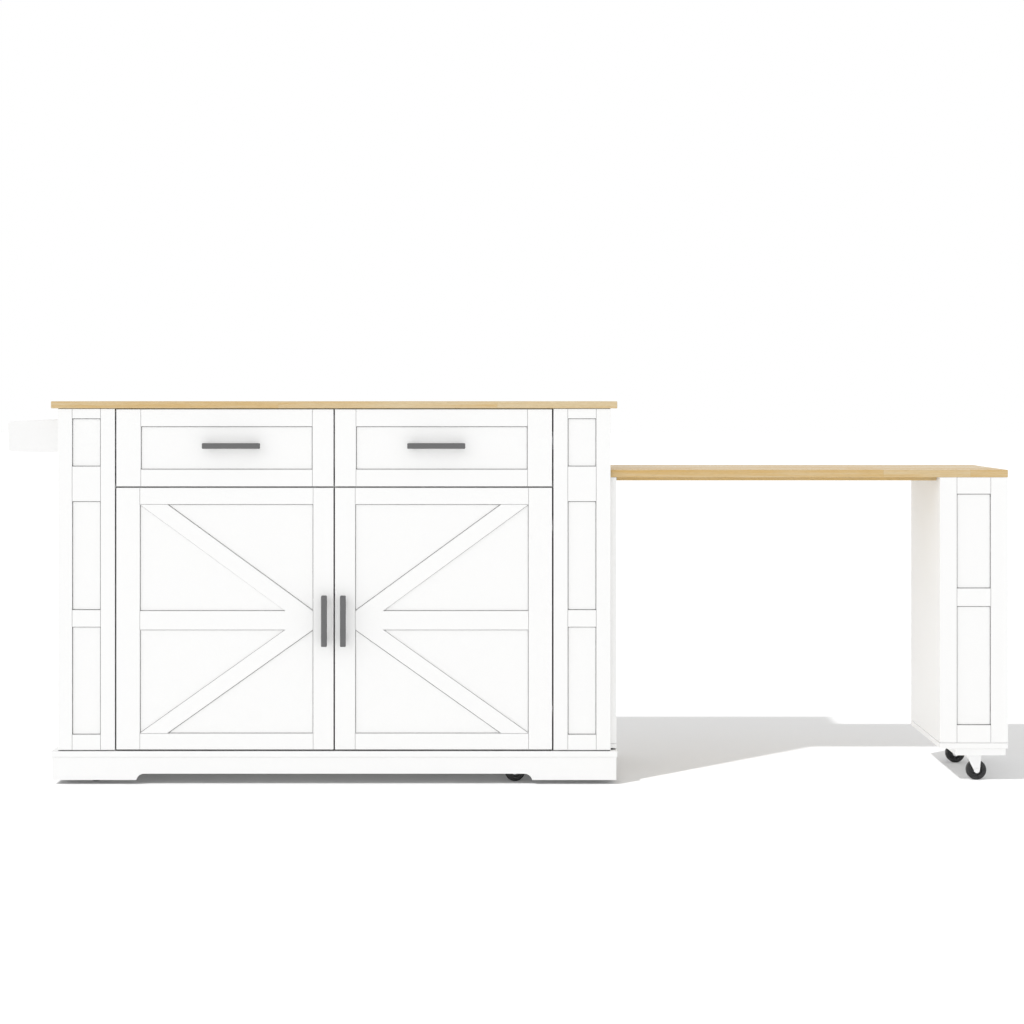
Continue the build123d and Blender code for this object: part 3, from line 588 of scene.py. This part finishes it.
FINISHES: dict[Slot, Finish] = {
    Slot.WHITE_PAINT: SprayedPaint("satin_white_paint", PAINT_WHITE, PAINT_ROUGHNESS),
    Slot.WHITE_BOARD: FacedBoard("matt_white_facing", (0.90, 0.90, 0.89), 0.55),
    # The leaf's battens wear the paler tone, painted light against the shade under the leaf.
    Slot.RUBBERWOOD: Staves("oiled_rubberwood", SHADE_LIFTED_RUBBERWOOD_DARK, OILED_ROUGHNESS),
    Slot.DRAWER_BOARD: FacedBoard("pale_drawer_facing", (0.84, 0.80, 0.72), 0.5, streak=0.05),
    Slot.HANDLE_METAL: Metal("satin_grey_handle", (0.165, 0.165, 0.167), 0.38, mottle=0.05),
    Slot.BRIGHT_STEEL: Metal("nickel_plate", (0.66, 0.65, 0.63), 0.24),
    Slot.SLIDE_STEEL: Metal("zinc_plate", (0.58, 0.59, 0.61), 0.34, (15.0, 15.0, 900.0), mottle=0.14),
    Slot.NYLON_GLIDE: Moulded("smooth_nylon", (0.84, 0.84, 0.81), 0.4),
    Slot.CASTER_PLASTIC: Moulded("white_caster_plastic", (0.95, 0.95, 0.95), 0.36),
    Slot.WHEEL_RUBBER: Moulded("black_tread", (0.012, 0.012, 0.013), 0.5, 0.0009, 0.00006, dust=0.35),
}


class Shape:
    """A mesh in the making, in metres, in the island's own frame."""

    def __init__(self) -> None:
        """Starts with nothing."""
        self.mesh = bmesh.new()

    def skin(self, rings: Sequence[Sequence[Vector]], loop: bool = False) -> None:
        """Joins rings of points into a surface.

        Args:
            rings: The rings in order. A ring of one point closes the surface to a tip.
            loop: Joins the last ring to the first.
        """
        made = [[self.mesh.verts.new(point) for point in ring] for ring in rings]
        if loop:
            made.append(made[0])
        for low, high in zip(made, made[1:]):
            for index in range(max(len(low), len(high))):
                steps = ((low, index), (low, index + 1), (high, index + 1), (high, index))
                corners = dict.fromkeys(ring[step % len(ring)] for ring, step in steps)
                self.mesh.faces.new(tuple(corners))

    def turn(
        self,
        profile: Sequence[tuple[Radius, float]],
        place: Vector,
        axis: Vector,
        sides: int = 40,
        loop: bool = False,
    ) -> None:
        """Adds a turned shape.

        Args:
            profile: Radius and height of each ring. A radius may depend on the angle.
            place: The foot of its axis.
            axis: The way that its heights run.
            sides: Sides of each ring.
            loop: Joins the last ring to the first, as in a tyre.
        """
        stand = Matrix.Translation(place) @ axis.to_track_quat("Z", "Y").to_matrix().to_4x4()
        angles = [math.tau * side / sides for side in range(sides)]
        rings = []
        for radius, height in profile:
            ring = []
            for angle in angles:
                reach = radius(angle) if callable(radius) else radius
                point = Vector((reach * math.cos(angle), reach * math.sin(angle), height))
                ring.append(stand @ point)
            rings.append(ring[:1] if radius == 0 else ring)
        self.skin(rings, loop)

    def block(self, low: Vector, high: Vector, ease: float, stand: Matrix) -> None:
        """Adds a block with eased edges.

        Args:
            low: Its lowest corner.
            high: Its highest corner.
            ease: How far its edges are rounded.
            stand: Where it stands.
        """
        made = bmesh.ops.create_cube(self.mesh, size=1.0)["verts"]
        shape = Matrix.Translation((low + high) / 2) @ Matrix.Diagonal((*(high - low), 1.0))
        bmesh.ops.transform(self.mesh, matrix=stand @ shape, verts=made)
        edges = list(dict.fromkeys(edge for vert in made for edge in vert.link_edges))
        bmesh.ops.bevel(self.mesh, geom=edges, offset=ease, segments=2, profile=0.7, affect="EDGES")

    def done(
        self, name: str, slot: Slot, body: str | None = None, finish: Finish | None = None
    ) -> bpy.types.Object:
        """Closes the mesh and makes it a piece.

        Args:
            name: The piece's name.
            slot: The record's slot for it.
            body: The body that it moves with. None leaves it on no body.
            finish: What it wears, if not what is usual for its slot.

        Returns:
            The piece.
        """
        bmesh.ops.recalc_face_normals(self.mesh, faces=self.mesh.faces)
        data = bpy.data.meshes.new(name)
        self.mesh.to_mesh(data)
        self.mesh.free()
        data.shade_smooth()
        data.set_sharp_from_angle(angle=SHARP_ANGLE)
        data.materials.append(material_of(finish or FINISHES[slot]))
        made = placed(name, data)
        if body:
            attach(made, body)
        log.info("%s: %d faces on %s", name, len(data.polygons), body)
        return made


@dataclass(frozen=True)
class Screw:
    """A pan-head screw with a cross recess."""

    radius: float = 0.0034
    rise: float = 0.0016
    root: float = 0.0002
    cross_arm: float = 0.0019
    cross_half: float = 0.00042
    cross_depth: float = 0.0010
    cross_taper: float = 0.55
    crown_steps: int = 3
    crown_turn: float = math.pi / 2.6
    sliver: float = 0.000001

    def cross(self, angle: float) -> float:
        """How far the recess reaches at an angle."""
        fold = (angle + math.pi / 4) % (math.pi / 2) - math.pi / 4
        beside = self.cross_half / max(abs(math.sin(fold)), self.sliver)
        return min(self.cross_arm / math.cos(fold), beside)

    def drive(self, shape: Shape, place: Vector, outward: Vector) -> None:
        """Adds the screw's head to a shape.

        Args:
            shape: The shape that it becomes part of.
            place: The point of the board that it is driven into.
            outward: The way that its head looks.
        """
        crown = [(0.0, -self.root), (self.radius, -self.root)]
        for step in range(self.crown_steps + 1):
            turn = step / self.crown_steps * self.crown_turn
            height = self.rise * math.sin(turn) / math.sin(self.crown_turn)
            crown.append((self.radius * math.cos(turn), height))
        floor = self.rise - self.cross_depth
        recess = [
            (self.cross, self.rise),
            (lambda angle: self.cross(angle) * self.cross_taper, floor),
            (0.0, floor),
        ]
        shape.turn([*crown, *recess], place, outward)

    def fasten(self, name: str, body: str, places: Sequence[Vector], outward: Vector) -> None:
        """Makes one piece of several screws.

        Args:
            name: The piece's name.
            body: The body that it moves with.
            places: The points that they are driven into.
            outward: The way that their heads look.
        """
        shape = Shape()
        for place in places:
            self.drive(shape, place, outward)
        shape.done(name, Slot.BRIGHT_STEEL, body)


PAN_SCREW = Screw()
FLUSH_SCREW = Screw(radius=0.0036, rise=0.00028, cross_depth=0.0004)
SMALL_SCREW = Screw(radius=0.0029, rise=0.0009, cross_arm=0.0016, cross_depth=0.0006)
HANDLE_SCREW = Screw(radius=0.0041, rise=0.0020, cross_arm=0.0022, cross_half=0.0005)


@dataclass
class Boards:
    """Every CAD node, in the finish that its slot in the record calls for."""

    special: Mapping[str, Finish]
    eased: Mapping[float, tuple[str, ...]]
    weld_reach: float = 0.00001
    flat_deg: float = 1.0
    sharp_deg: float = 40.0

    def build(self) -> None:
        """Dresses each node, and takes the sharp edges off the square-cut ones."""
        for part in frame["record"]["subparts"]:
            node = part["node"]
            finish = self.special.get(node, FINISHES[Slot(part["material_slot"])])
            mesh = frame["nodes"][node].data
            mesh.materials.clear()
            mesh.materials.append(material_of(finish))
            log.info("%s wears %s", node, finish.name)
        for ease, nodes in self.eased.items():
            for node in nodes:
                self.soften(frame["nodes"][node], ease)

    def soften(self, board: bpy.types.Object, ease: float) -> None:
        """Rounds the edges of a square-cut board.

        Args:
            board: The board.
            ease: How far its edges are rounded.
        """
        flat, sharp = math.radians(self.flat_deg), math.radians(self.sharp_deg)
        for kind, settings in (
            ("WELD", {"merge_threshold": self.weld_reach}),
            ("DECIMATE", {"decimate_type": "DISSOLVE", "angle_limit": flat}),
            ("BEVEL", {"width": ease, "segments": 2, "limit_method": "ANGLE", "angle_limit": sharp}),
            ("WEIGHTED_NORMAL", {"keep_sharp": False, "weight": 100}),
        ):
            modifier = board.modifiers.new(kind.lower(), kind)
            for name, value in settings.items():
                setattr(modifier, name, value)
        log.info("%s eased by %.1f mm", board.name, ease * 1000)


def with_mirror(outline: Sequence[tuple[float, float]]) -> list[tuple[float, float]]:
    """The rings of one half of a wheel, as radius and place along its axle, and of the other half."""
    return [*outline, *((radius, -along) for radius, along in reversed(outline))]


@dataclass
class Caster:
    """One swivel caster: a tyre on a ribbed hub, the ends of its axle, and the ring of its swivel."""

    name: str
    tyre_inset: float = 0.0007
    tyre_bore: float = 0.0165
    bore_ease: float = 0.0012
    shoulder: float = 0.0030
    shoulder_steps: int = 5
    groove_at: float = 0.0030
    groove_half: float = 0.0005
    groove_depth: float = 0.0006
    rim_bore: float = 0.0136
    rim_ease: float = 0.0005
    rim_inset: float = 0.0011
    web_half: float = 0.0030
    hub_radius: float = 0.0068
    hub_ease: float = 0.0006
    hub_slope: float = 0.0004
    axle_radius: float = 0.0031
    ribs: int = 6
    rib_half: float = 0.0009
    rib_inset: float = 0.0012
    rib_ease: float = 0.0003
    seat: float = 0.0002
    cap_radius: float = 0.0043
    cap_rise: float = 0.0017
    cap_wide: tuple[float, ...] = (1.0, 0.86, 0.6, 0.34, 0.24, 0.0)
    cap_tall: tuple[float, ...] = (0.35, 0.8, 1.0, 0.96, 0.6, 0.55)
    ring_radius: float = 0.0164
    ring_bore: float = 0.0149
    ring_height: float = 0.0024
    ring_ease: float = 0.0006
    ring_waist: float = 0.0003
    top_gap: float = 0.0005
    middle: Vector = field(init=False)
    radius: float = field(init=False)
    boss_half: float = field(init=False)
    half: float = field(init=False)

    def __post_init__(self) -> None:
        """Reads the wheel's place and size."""
        low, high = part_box(f"{self.name}_wheel")
        self.middle = (low + high) / 2
        self.radius = (high.z - low.z) / 2
        self.boss_half = (high.y - low.y) / 2
        self.half = self.boss_half - self.tyre_inset

    def build(self) -> None:
        """Makes the caster's pieces and puts them on its two bodies."""
        self.make_tyre()
        self.make_hub()
        self.make_fork_trim()

    def make_tyre(self) -> None:
        """The black tyre, with rounded shoulders and two grooves in its tread."""
        outline = [
            (self.tyre_bore, -self.half + self.bore_ease),
            (self.tyre_bore + self.bore_ease, -self.half),
        ]
        for step in range(self.shoulder_steps + 1):
            turn = step / self.shoulder_steps * math.pi / 2
            radius = self.radius - self.shoulder * (1 - math.sin(turn))
            outline.append((radius, -self.half + self.shoulder * (1 - math.cos(turn))))
        sunk = self.radius - self.groove_depth
        outline += [
            (self.radius, -self.groove_at - self.groove_half),
            (sunk, -self.groove_at - self.groove_half / 2),
            (sunk, -self.groove_at + self.groove_half / 2),
            (self.radius, -self.groove_at + self.groove_half),
        ]
        shape = Shape()
        shape.turn(with_mirror(outline), self.middle, BACK, sides=72, loop=True)
        tyre = shape.done(f"{self.name}_tyre", Slot.WHEEL_RUBBER, f"{self.name}_roller")
        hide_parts(f"{self.name}_wheel")

    def make_hub(self) -> None:
        """The hub: a boss, a web with ribs on both faces, and a rim under the tyre."""
        rim_half = self.half - self.rim_inset
        outline = [
            (self.axle_radius, self.boss_half),
            (self.hub_radius - self.hub_ease, self.boss_half),
            (self.hub_radius, self.boss_half - self.hub_ease),
            (self.hub_radius + self.hub_slope, self.web_half),
            (self.rim_bore - self.rim_ease, self.web_half),
            (self.rim_bore, rim_half - self.hub_slope),
            (self.rim_bore + self.rim_ease, rim_half),
            (self.tyre_bore + self.seat, rim_half),
        ]
        shape = Shape()
        shape.turn(with_mirror(outline), self.middle, BACK, sides=56, loop=True)
        reach = rim_half - self.rib_inset
        low = Vector((self.hub_radius - self.hub_slope, -reach, -self.rib_half))
        high = Vector((self.rim_bore + self.rib_ease, reach, self.rib_half))
        for rib in range(self.ribs):
            turned = Matrix.Rotation(math.tau * rib / self.ribs, 4, "Y")
            shape.block(low, high, self.rib_ease, Matrix.Translation(self.middle) @ turned)
        shape.done(f"{self.name}_hub", Slot.WHEEL_RUBBER, f"{self.name}_roller", HUB_PLASTIC)

    def make_fork_trim(self) -> None:
        """The riveted ends of the axle, and the ring of ball bearings under the swivel's top."""
        low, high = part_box(f"{self.name}_fork")
        outline = [(0.0, -self.seat), (self.cap_radius, -self.seat)]
        for wide, tall in zip(self.cap_wide, self.cap_tall):
            outline.append((self.cap_radius * wide, self.cap_rise * tall))
        rivets = Shape()
        for level, outward in ((low.y, FORWARD), (high.y, BACK)):
            rivets.turn(outline, Vector((self.middle.x, level, self.middle.z)), outward, sides=32)
        body = f"{self.name}_swivel"
        rivets.done(f"{self.name}_axle_ends", Slot.CASTER_PLASTIC, body)

        joint = next(each for each in frame["joints"] if each["name"] == body)
        top = -self.top_gap
        floor = top - self.ring_height
        outline = [
            (self.ring_bore, floor),
            (self.ring_radius - self.ring_ease, floor),
            (self.ring_radius, floor + self.ring_ease),
            (self.ring_radius - self.ring_waist, (top + floor) / 2),
            (self.ring_radius, top - self.ring_ease),
            (self.ring_radius - self.ring_ease, top),
            (self.ring_bore, top),
        ]
        ring = Shape()
        ring.turn(outline, Vector(joint["pos_m"]), UP, sides=56, loop=True)
        ring.done(f"{self.name}_swivel_ring", Slot.CASTER_PLASTIC, body)


@dataclass
class Hinges:
    """What the concealed hinges show when a door stands open: links, and screws in cups and plates."""

    flange_half: float = 0.028
    flange_height: float = 0.0012
    rim_radius: float = 0.0189
    rim_bore: float = 0.0143
    rim_ease: float = 0.0004
    rim_lift: float = 0.0001
    rim_drop: float = 0.00008
    flange_screw_at: float = 0.021
    link_half: float = 0.0050
    link_thickness: float = 0.0014
    link_steps: int = 22
    link_places: tuple[float, float] = (0.0008, 0.0085)
    link_root: float = 0.0016
    cup_floor: float = 0.0017
    plate_screw_at: float = 0.0135
    plate_reach: float = 0.046
    plate_thickness: float = 0.0020
    arm_thickness: float = 0.0110
    adjuster_at: float = 0.030

    def build(self) -> None:
        """Makes the links and the screws of both doors."""
        arms_low, arms_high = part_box("hinge_arms")
        plate_screws = Shape()
        for word, outward, wall_x in (("left", LEFT, arms_low.x), ("right", RIGHT, arms_high.x)):
            low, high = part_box(f"{word}_hinge_cups")
            cup_x = (low.x + high.x) / 2
            cup_screws = Shape()
            rims = Shape()
            for name, level in (("low", low.z + self.flange_half), ("high", high.z - self.flange_half)):
                self.make_link(word, name, Vector((cup_x, low.y, level)), outward.x, arms_low.y)
                self.turn_rim(rims, Vector((cup_x, high.y - self.flange_height, level)))
                for way in (-1, 1):
                    place = Vector((cup_x, high.y, level + way * self.flange_screw_at))
                    SMALL_SCREW.drive(cup_screws, place, BACK)
                    plate_x = wall_x - outward.x * self.plate_thickness
                    plate_y = arms_high.y - self.plate_reach / 2
                    place = Vector((plate_x, plate_y, level + way * self.plate_screw_at))
                    SMALL_SCREW.drive(plate_screws, place, -outward)
                arm_x = plate_x - outward.x * self.arm_thickness
                place = Vector((arm_x, arms_high.y - self.adjuster_at, level))
                SMALL_SCREW.drive(plate_screws, place, -outward)
            cup_screws.done(f"{word}_hinge_cup_screws", Slot.BRIGHT_STEEL, f"{word}_door")
            rims.done(f"{word}_hinge_cup_rims", Slot.BRIGHT_STEEL, f"{word}_door")
        plate_screws.done("hinge_plate_screws", Slot.BRIGHT_STEEL, "root")

    def turn_rim(self, shape: Shape, place: Vector) -> None:
        """Adds the round rim of a cup, which lies on the door beside the cup's flange.

        Args:
            shape: The shape that it becomes part of.
            place: The middle of the cup, on the door's inner face.
        """
        top = self.flange_height - self.rim_drop
        outline = [
            (self.rim_bore, self.rim_lift),
            (self.rim_radius, self.rim_lift),
            (self.rim_radius, top - self.rim_ease),
            (self.rim_radius - self.rim_ease, top),
            (self.rim_bore, top),
        ]
        shape.turn(outline, place, BACK, sides=56, loop=True)

    def make_link(self, word: str, name: str, cup: Vector, wall_way: float, arm_front: float) -> None:
        """The two links between a hinge's arm and its cup, made in place on no body; in the real hinge they swing
        out with the door.

        Args:
            word: The door's side.
            name: Which of its hinges.
            cup: The middle of the cup's outer floor.
            wall_way: 1 or -1, the way along X to the wall that carries the arm.
            arm_front: Y of the front of the arm.
        """
        start_y = arm_front + self.link_root
        end_y = cup.y + self.cup_floor
        shape = Shape()
        low, high = cup.z - self.link_half, cup.z + self.link_half
        for offset in self.link_places:
            x = cup.x + wall_way * offset
            left, right = x - self.link_thickness / 2, x + self.link_thickness / 2
            section = ((left, low), (right, low), (right, high), (left, high))
            rings = [[Vector((x, start_y, cup.z))]]
            for step in range(self.link_steps + 1):
                y = start_y + (end_y - start_y) * step / self.link_steps
                rings.append([Vector((side, y, level)) for side, level in section])
            rings.append([Vector((x, end_y, cup.z))])
            shape.skin(rings)
        link = shape.done(f"{word}_{name}_hinge_links", Slot.BRIGHT_STEEL)
        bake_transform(link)


@dataclass
class Pulls:
    """The screws that hold the four bar handles, seen from inside the doors and drawers."""

    post_inset: float = 0.017
    box_board: float = 0.012

    def build(self) -> None:
        """Drives two screws for each handle."""
        for word in ("left", "right"):
            low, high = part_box(f"{word}_door_handle")
            _, panel_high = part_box(f"{word}_door_panel")
            x = (low.x + high.x) / 2
            levels = (low.z + self.post_inset, high.z - self.post_inset)
            places = [Vector((x, panel_high.y, z)) for z in levels]
            HANDLE_SCREW.fasten(f"{word}_door_handle_screws", f"{word}_door", places, BACK)

            low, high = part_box(f"{word}_drawer_handle")
            box_low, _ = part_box(f"{word}_drawer_box")
            y = box_low.y + self.box_board
            z = (low.z + high.z) / 2
            places = [Vector((x, y, z)) for x in (low.x + self.post_inset, high.x - self.post_inset)]
            HANDLE_SCREW.fasten(f"{word}_drawer_handle_screws", f"{word}_drawer", places, BACK)


@dataclass
class BackScrews:
    """The screws round the back panel."""

    edge: float = 0.007
    columns: int = 9
    rows: int = 5

    def build(self) -> None:
        """Drives the screws, a row along each edge and one into the slot's floor."""
        low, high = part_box("back_panel")
        slot_low, slot_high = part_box("slot_floor")
        reach_x = (low.x + self.edge, high.x - self.edge)
        reach_z = (low.z + self.edge, high.z - self.edge)
        slot_z = (slot_low.z + slot_high.z) / 2
        places = []
        for column in range(self.columns):
            x = reach_x[0] + (reach_x[1] - reach_x[0]) * column / (self.columns - 1)
            places += [Vector((x, high.y, z)) for z in (*reach_z, slot_z)]
        for row in range(1, self.rows):
            z = reach_z[0] + (slot_z - reach_z[0]) * row / self.rows
            places += [Vector((x, high.y, z)) for x in reach_x]
        PAN_SCREW.fasten("back_panel_screws", "root", places, BACK)


@dataclass
class BattenScrews:
    """The sunk screws that hold the battens under the leaf."""

    count: int = 5
    inset: float = 0.040
    batten_width: float = 0.030

    def build(self) -> None:
        """Drives a row of screws up each batten."""
        low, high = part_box("leaf_battens")
        leg_low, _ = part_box("leg_sides")
        _, end_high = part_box("end_panel")
        start, stop = end_high.x + self.inset, leg_low.x - self.inset
        places = []
        for y in (low.y + self.batten_width / 2, high.y - self.batten_width / 2):
            for index in range(self.count):
                x = start + (stop - start) * index / (self.count - 1)
                places.append(Vector((x, y, low.z)))
        FLUSH_SCREW.fasten("batten_screws", "table_leaf", places, DOWN)


@dataclass
class ShelfPins:
    """The four pins under the shelf, each with a collar against the wall and a rounded end."""

    radius: float = 0.0025
    collar_radius: float = 0.0042
    collar: float = 0.0008
    sink: float = 0.009
    length: float = 0.018
    round_end: float = 0.0010
    round_side: float = 0.0003

    def build(self) -> None:
        """Turns the pins in the places of the plain ones."""
        low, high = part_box("shelf_pins")
        level = (low.z + high.z) / 2
        outline = [
            (0.0, 0.0),
            (self.radius, 0.0),
            (self.radius, self.sink),
            (self.collar_radius, self.sink),
            (self.collar_radius, self.sink + self.collar),
            (self.radius, self.sink + self.collar),
            (self.radius, self.length - self.round_end),
            (self.radius - self.round_side, self.length - self.round_side),
            (self.radius - self.round_end, self.length),
            (0.0, self.length),
        ]
        shape = Shape()
        for end_x, inward in ((low.x, RIGHT), (high.x, LEFT)):
            for y in (low.y + self.radius, high.y - self.radius):
                shape.turn(outline, Vector((end_x, y, level)), inward, sides=28)
        pins = shape.done("turned_shelf_pins", Slot.BRIGHT_STEEL, "root")
        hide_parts("shelf_pins")


@dataclass(frozen=True)
class Lamp:
    """A far lamp: its strength, the way its light goes, and how wide it looks from the island."""

    name: str
    strength: float
    travel: Point
    spread_deg: float

    def hang(self) -> bpy.types.Object:
        """Puts the lamp in the scene.

        Returns:
            The lamp.
        """
        light = bpy.data.lights.new(self.name, "SUN")
        light.energy = self.strength
        light.angle = math.radians(self.spread_deg)
        lamp = placed(self.name, light)
        lamp.rotation_mode = "QUATERNION"
        lamp.rotation_quaternion = Vector(self.travel).to_track_quat("-Z", "Y")
        return lamp


@dataclass
class Studio:
    """A white floor under an even sky, with one lamp whose light shows only on the floor."""

    sky: float = 0.915
    floor_reach: float = 60.0
    floor_color: Color = (0.665, 0.665, 0.665)
    floor_glow: float = 0.113
    sun: Lamp = Lamp("floor_sun", 3.15, (0.7355, 0.825, -1.0), 1.6)
    fill: Lamp = Lamp("soft_fill", 0.37, (0.70, 0.60, -0.38), 60.0)

    def build(self) -> None:
        """Makes the floor, the sky and the lamps."""
        floor = self.lay_floor()
        self.light_sky()
        lit = bpy.data.collections.new("lit_by_floor_sun")
        lit.objects.link(floor)
        self.sun.hang().light_linking.receiver_collection = lit
        self.fill.hang()
        log.info("studio ready")

    def lay_floor(self) -> bpy.types.Object:
        """The floor, which isn't part of the island.

        Returns:
            The floor.
        """
        reach = self.floor_reach
        mesh = bpy.data.meshes.new("studio_floor")
        corners = [(-reach, -reach, 0), (reach, -reach, 0), (reach, reach, 0), (-reach, reach, 0)]
        mesh.from_pydata(corners, [], [(0, 1, 2, 3)])
        floor = placed("studio_floor", mesh)
        made = bpy.data.materials.new("studio_floor")
        recipe = Recipe(made)
        matt = recipe.node("ShaderNodeBsdfDiffuse", inputs={"Color": rgba(self.floor_color)})
        seen = recipe.node("ShaderNodeLightPath", output="Is Camera Ray")
        glow = recipe.node("ShaderNodeEmission", inputs={"Strength": seen * self.floor_glow})
        recipe.finish(recipe.node("ShaderNodeAddShader", inputs={0: matt, 1: glow}))
        mesh.materials.append(made)
        return floor

    def light_sky(self) -> None:
        """An even sky, which the camera and the gloss of the pieces see as plain white."""
        world = bpy.data.worlds.new("even_sky")
        bpy.context.scene.world = world
        recipe = Recipe(world)
        ray = recipe.node("ShaderNodeLightPath", output="Is Camera Ray")
        seen = ray + ray.also("Is Glossy Ray") + ray.also("Is Transmission Ray")
        strength = self.sky + seen.over(0.5) * (1 - self.sky)
        sky = recipe.node("ShaderNodeBackground", inputs={"Color": (1, 1, 1, 1), "Strength": strength})
        recipe.finish(sky, "ShaderNodeOutputWorld")


@dataclass
class ViewPoint:
    """The level camera of the photograph, in front of the island and a little to its right."""

    distance: float = 5.700
    right_of_cabinet: float = 0.424
    height: float = 0.917
    focal_px: float = 2392.0
    picture_px: float = 1024.0
    horizon_row: float = 400.0
    sensor_mm: float = 36.0
    nearest: float = 0.1
    farthest: float = 200.0

    def build(self) -> None:
        """Makes the camera."""
        low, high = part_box("worktop")
        lens = bpy.data.cameras.new("level_view")
        lens.sensor_width = self.sensor_mm
        lens.lens = self.sensor_mm * self.focal_px / self.picture_px
        lens.shift_y = (self.horizon_row - self.picture_px / 2) / self.picture_px
        lens.clip_start = self.nearest
        lens.clip_end = self.farthest
        camera = placed("level_view", lens)
        middle = (low.x + high.x) / 2
        camera.location = (middle + self.right_of_cabinet, low.y - self.distance, self.height)
        camera.rotation_euler = (math.pi / 2, 0.0, 0.0)
        bpy.context.scene.camera = camera
        log.info("camera at %s", camera.location)


def board_staves(
    node: str, first_tone: float, joints: Sequence[tuple[float, float]], seed: float = 0.0
) -> Staves:
    """The staves of a board, with the joints that show along its front edge.

    Args:
        node: The board.
        first_tone: The tone of the front row's first stave.
        joints: How far from the board's end each next stave starts, and its tone.
        seed: What sets the board's random draws apart.

    Returns:
        The board's finish.
    """
    low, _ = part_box(node)
    return Staves(
        f"{node}_rubberwood",
        OILED_DARK,
        OILED_ROUGHNESS,
        front=low.y,
        first_tone=first_tone,
        front_staves=tuple((low.x + along, tone) for along, tone in joints),
        seed=seed,
    )


def own_finishes() -> dict[str, Finish]:
    """The finishes of the nodes that differ from the rest of their slot."""
    pieces = ("door_panel", "door_trim", "drawer_front")
    fronts = [f"{word}_{piece}" for word in ("left", "right") for piece in pieces]
    return {
        "worktop": board_staves("worktop", 0.45, [(0.542, 0.60), (1.064, 0.95)]),
        "leaf": board_staves("leaf", 0.37, [(0.753, 0.60), (0.961, 0.47)], seed=11.0),
        **dict.fromkeys((*fronts, "leg_sides", "leg_foot"), MOVING_PAINT),
        **dict.fromkeys(("rack_brackets", "rack_shelf", "towel_bar"), RACK_PAINT),
    }


EASED_BOARDS: dict[float, tuple[str, ...]] = {
    0.0008: ("plinth_ends", "plinth_front", "plinth_back", "leaf_battens"),
    0.0006: ("shelf", "rack_shelf", "floor_panel", "left_drawer_box", "right_drawer_box"),
    0.0005: (
        "left_side",
        "lower_right_side",
        "upper_right_side",
        "slot_floor",
        "slot_ceiling",
        "drawer_dividers",
        "leg_sides",
        "leg_back",
    ),
    0.0004: ("back_panel", "hinge_arms"),
    0.00028: (
        "left_door_trim",
        "right_door_trim",
        "pilaster_trims",
        "left_drawer_front",
        "right_drawer_front",
        "leg_front",
    ),
}


def main() -> None:
    """Builds the island's looks, its studio and its camera, in that order."""
    logging.basicConfig(level=logging.INFO, format="%(name)s: %(message)s")
    bpy.context.scene.view_settings.view_transform = "Standard"
    Boards(own_finishes(), EASED_BOARDS).build()
    for end in ("front_left", "front_right", "back_left", "back_right", "leg_front", "leg_back"):
        Caster(end).build()
    Hinges().build()
    Pulls().build()
    BackScrews().build()
    BattenScrews().build()
    ShelfPins().build()
    Studio().build()
    ViewPoint().build()


if __name__ == "__main__":
    main()
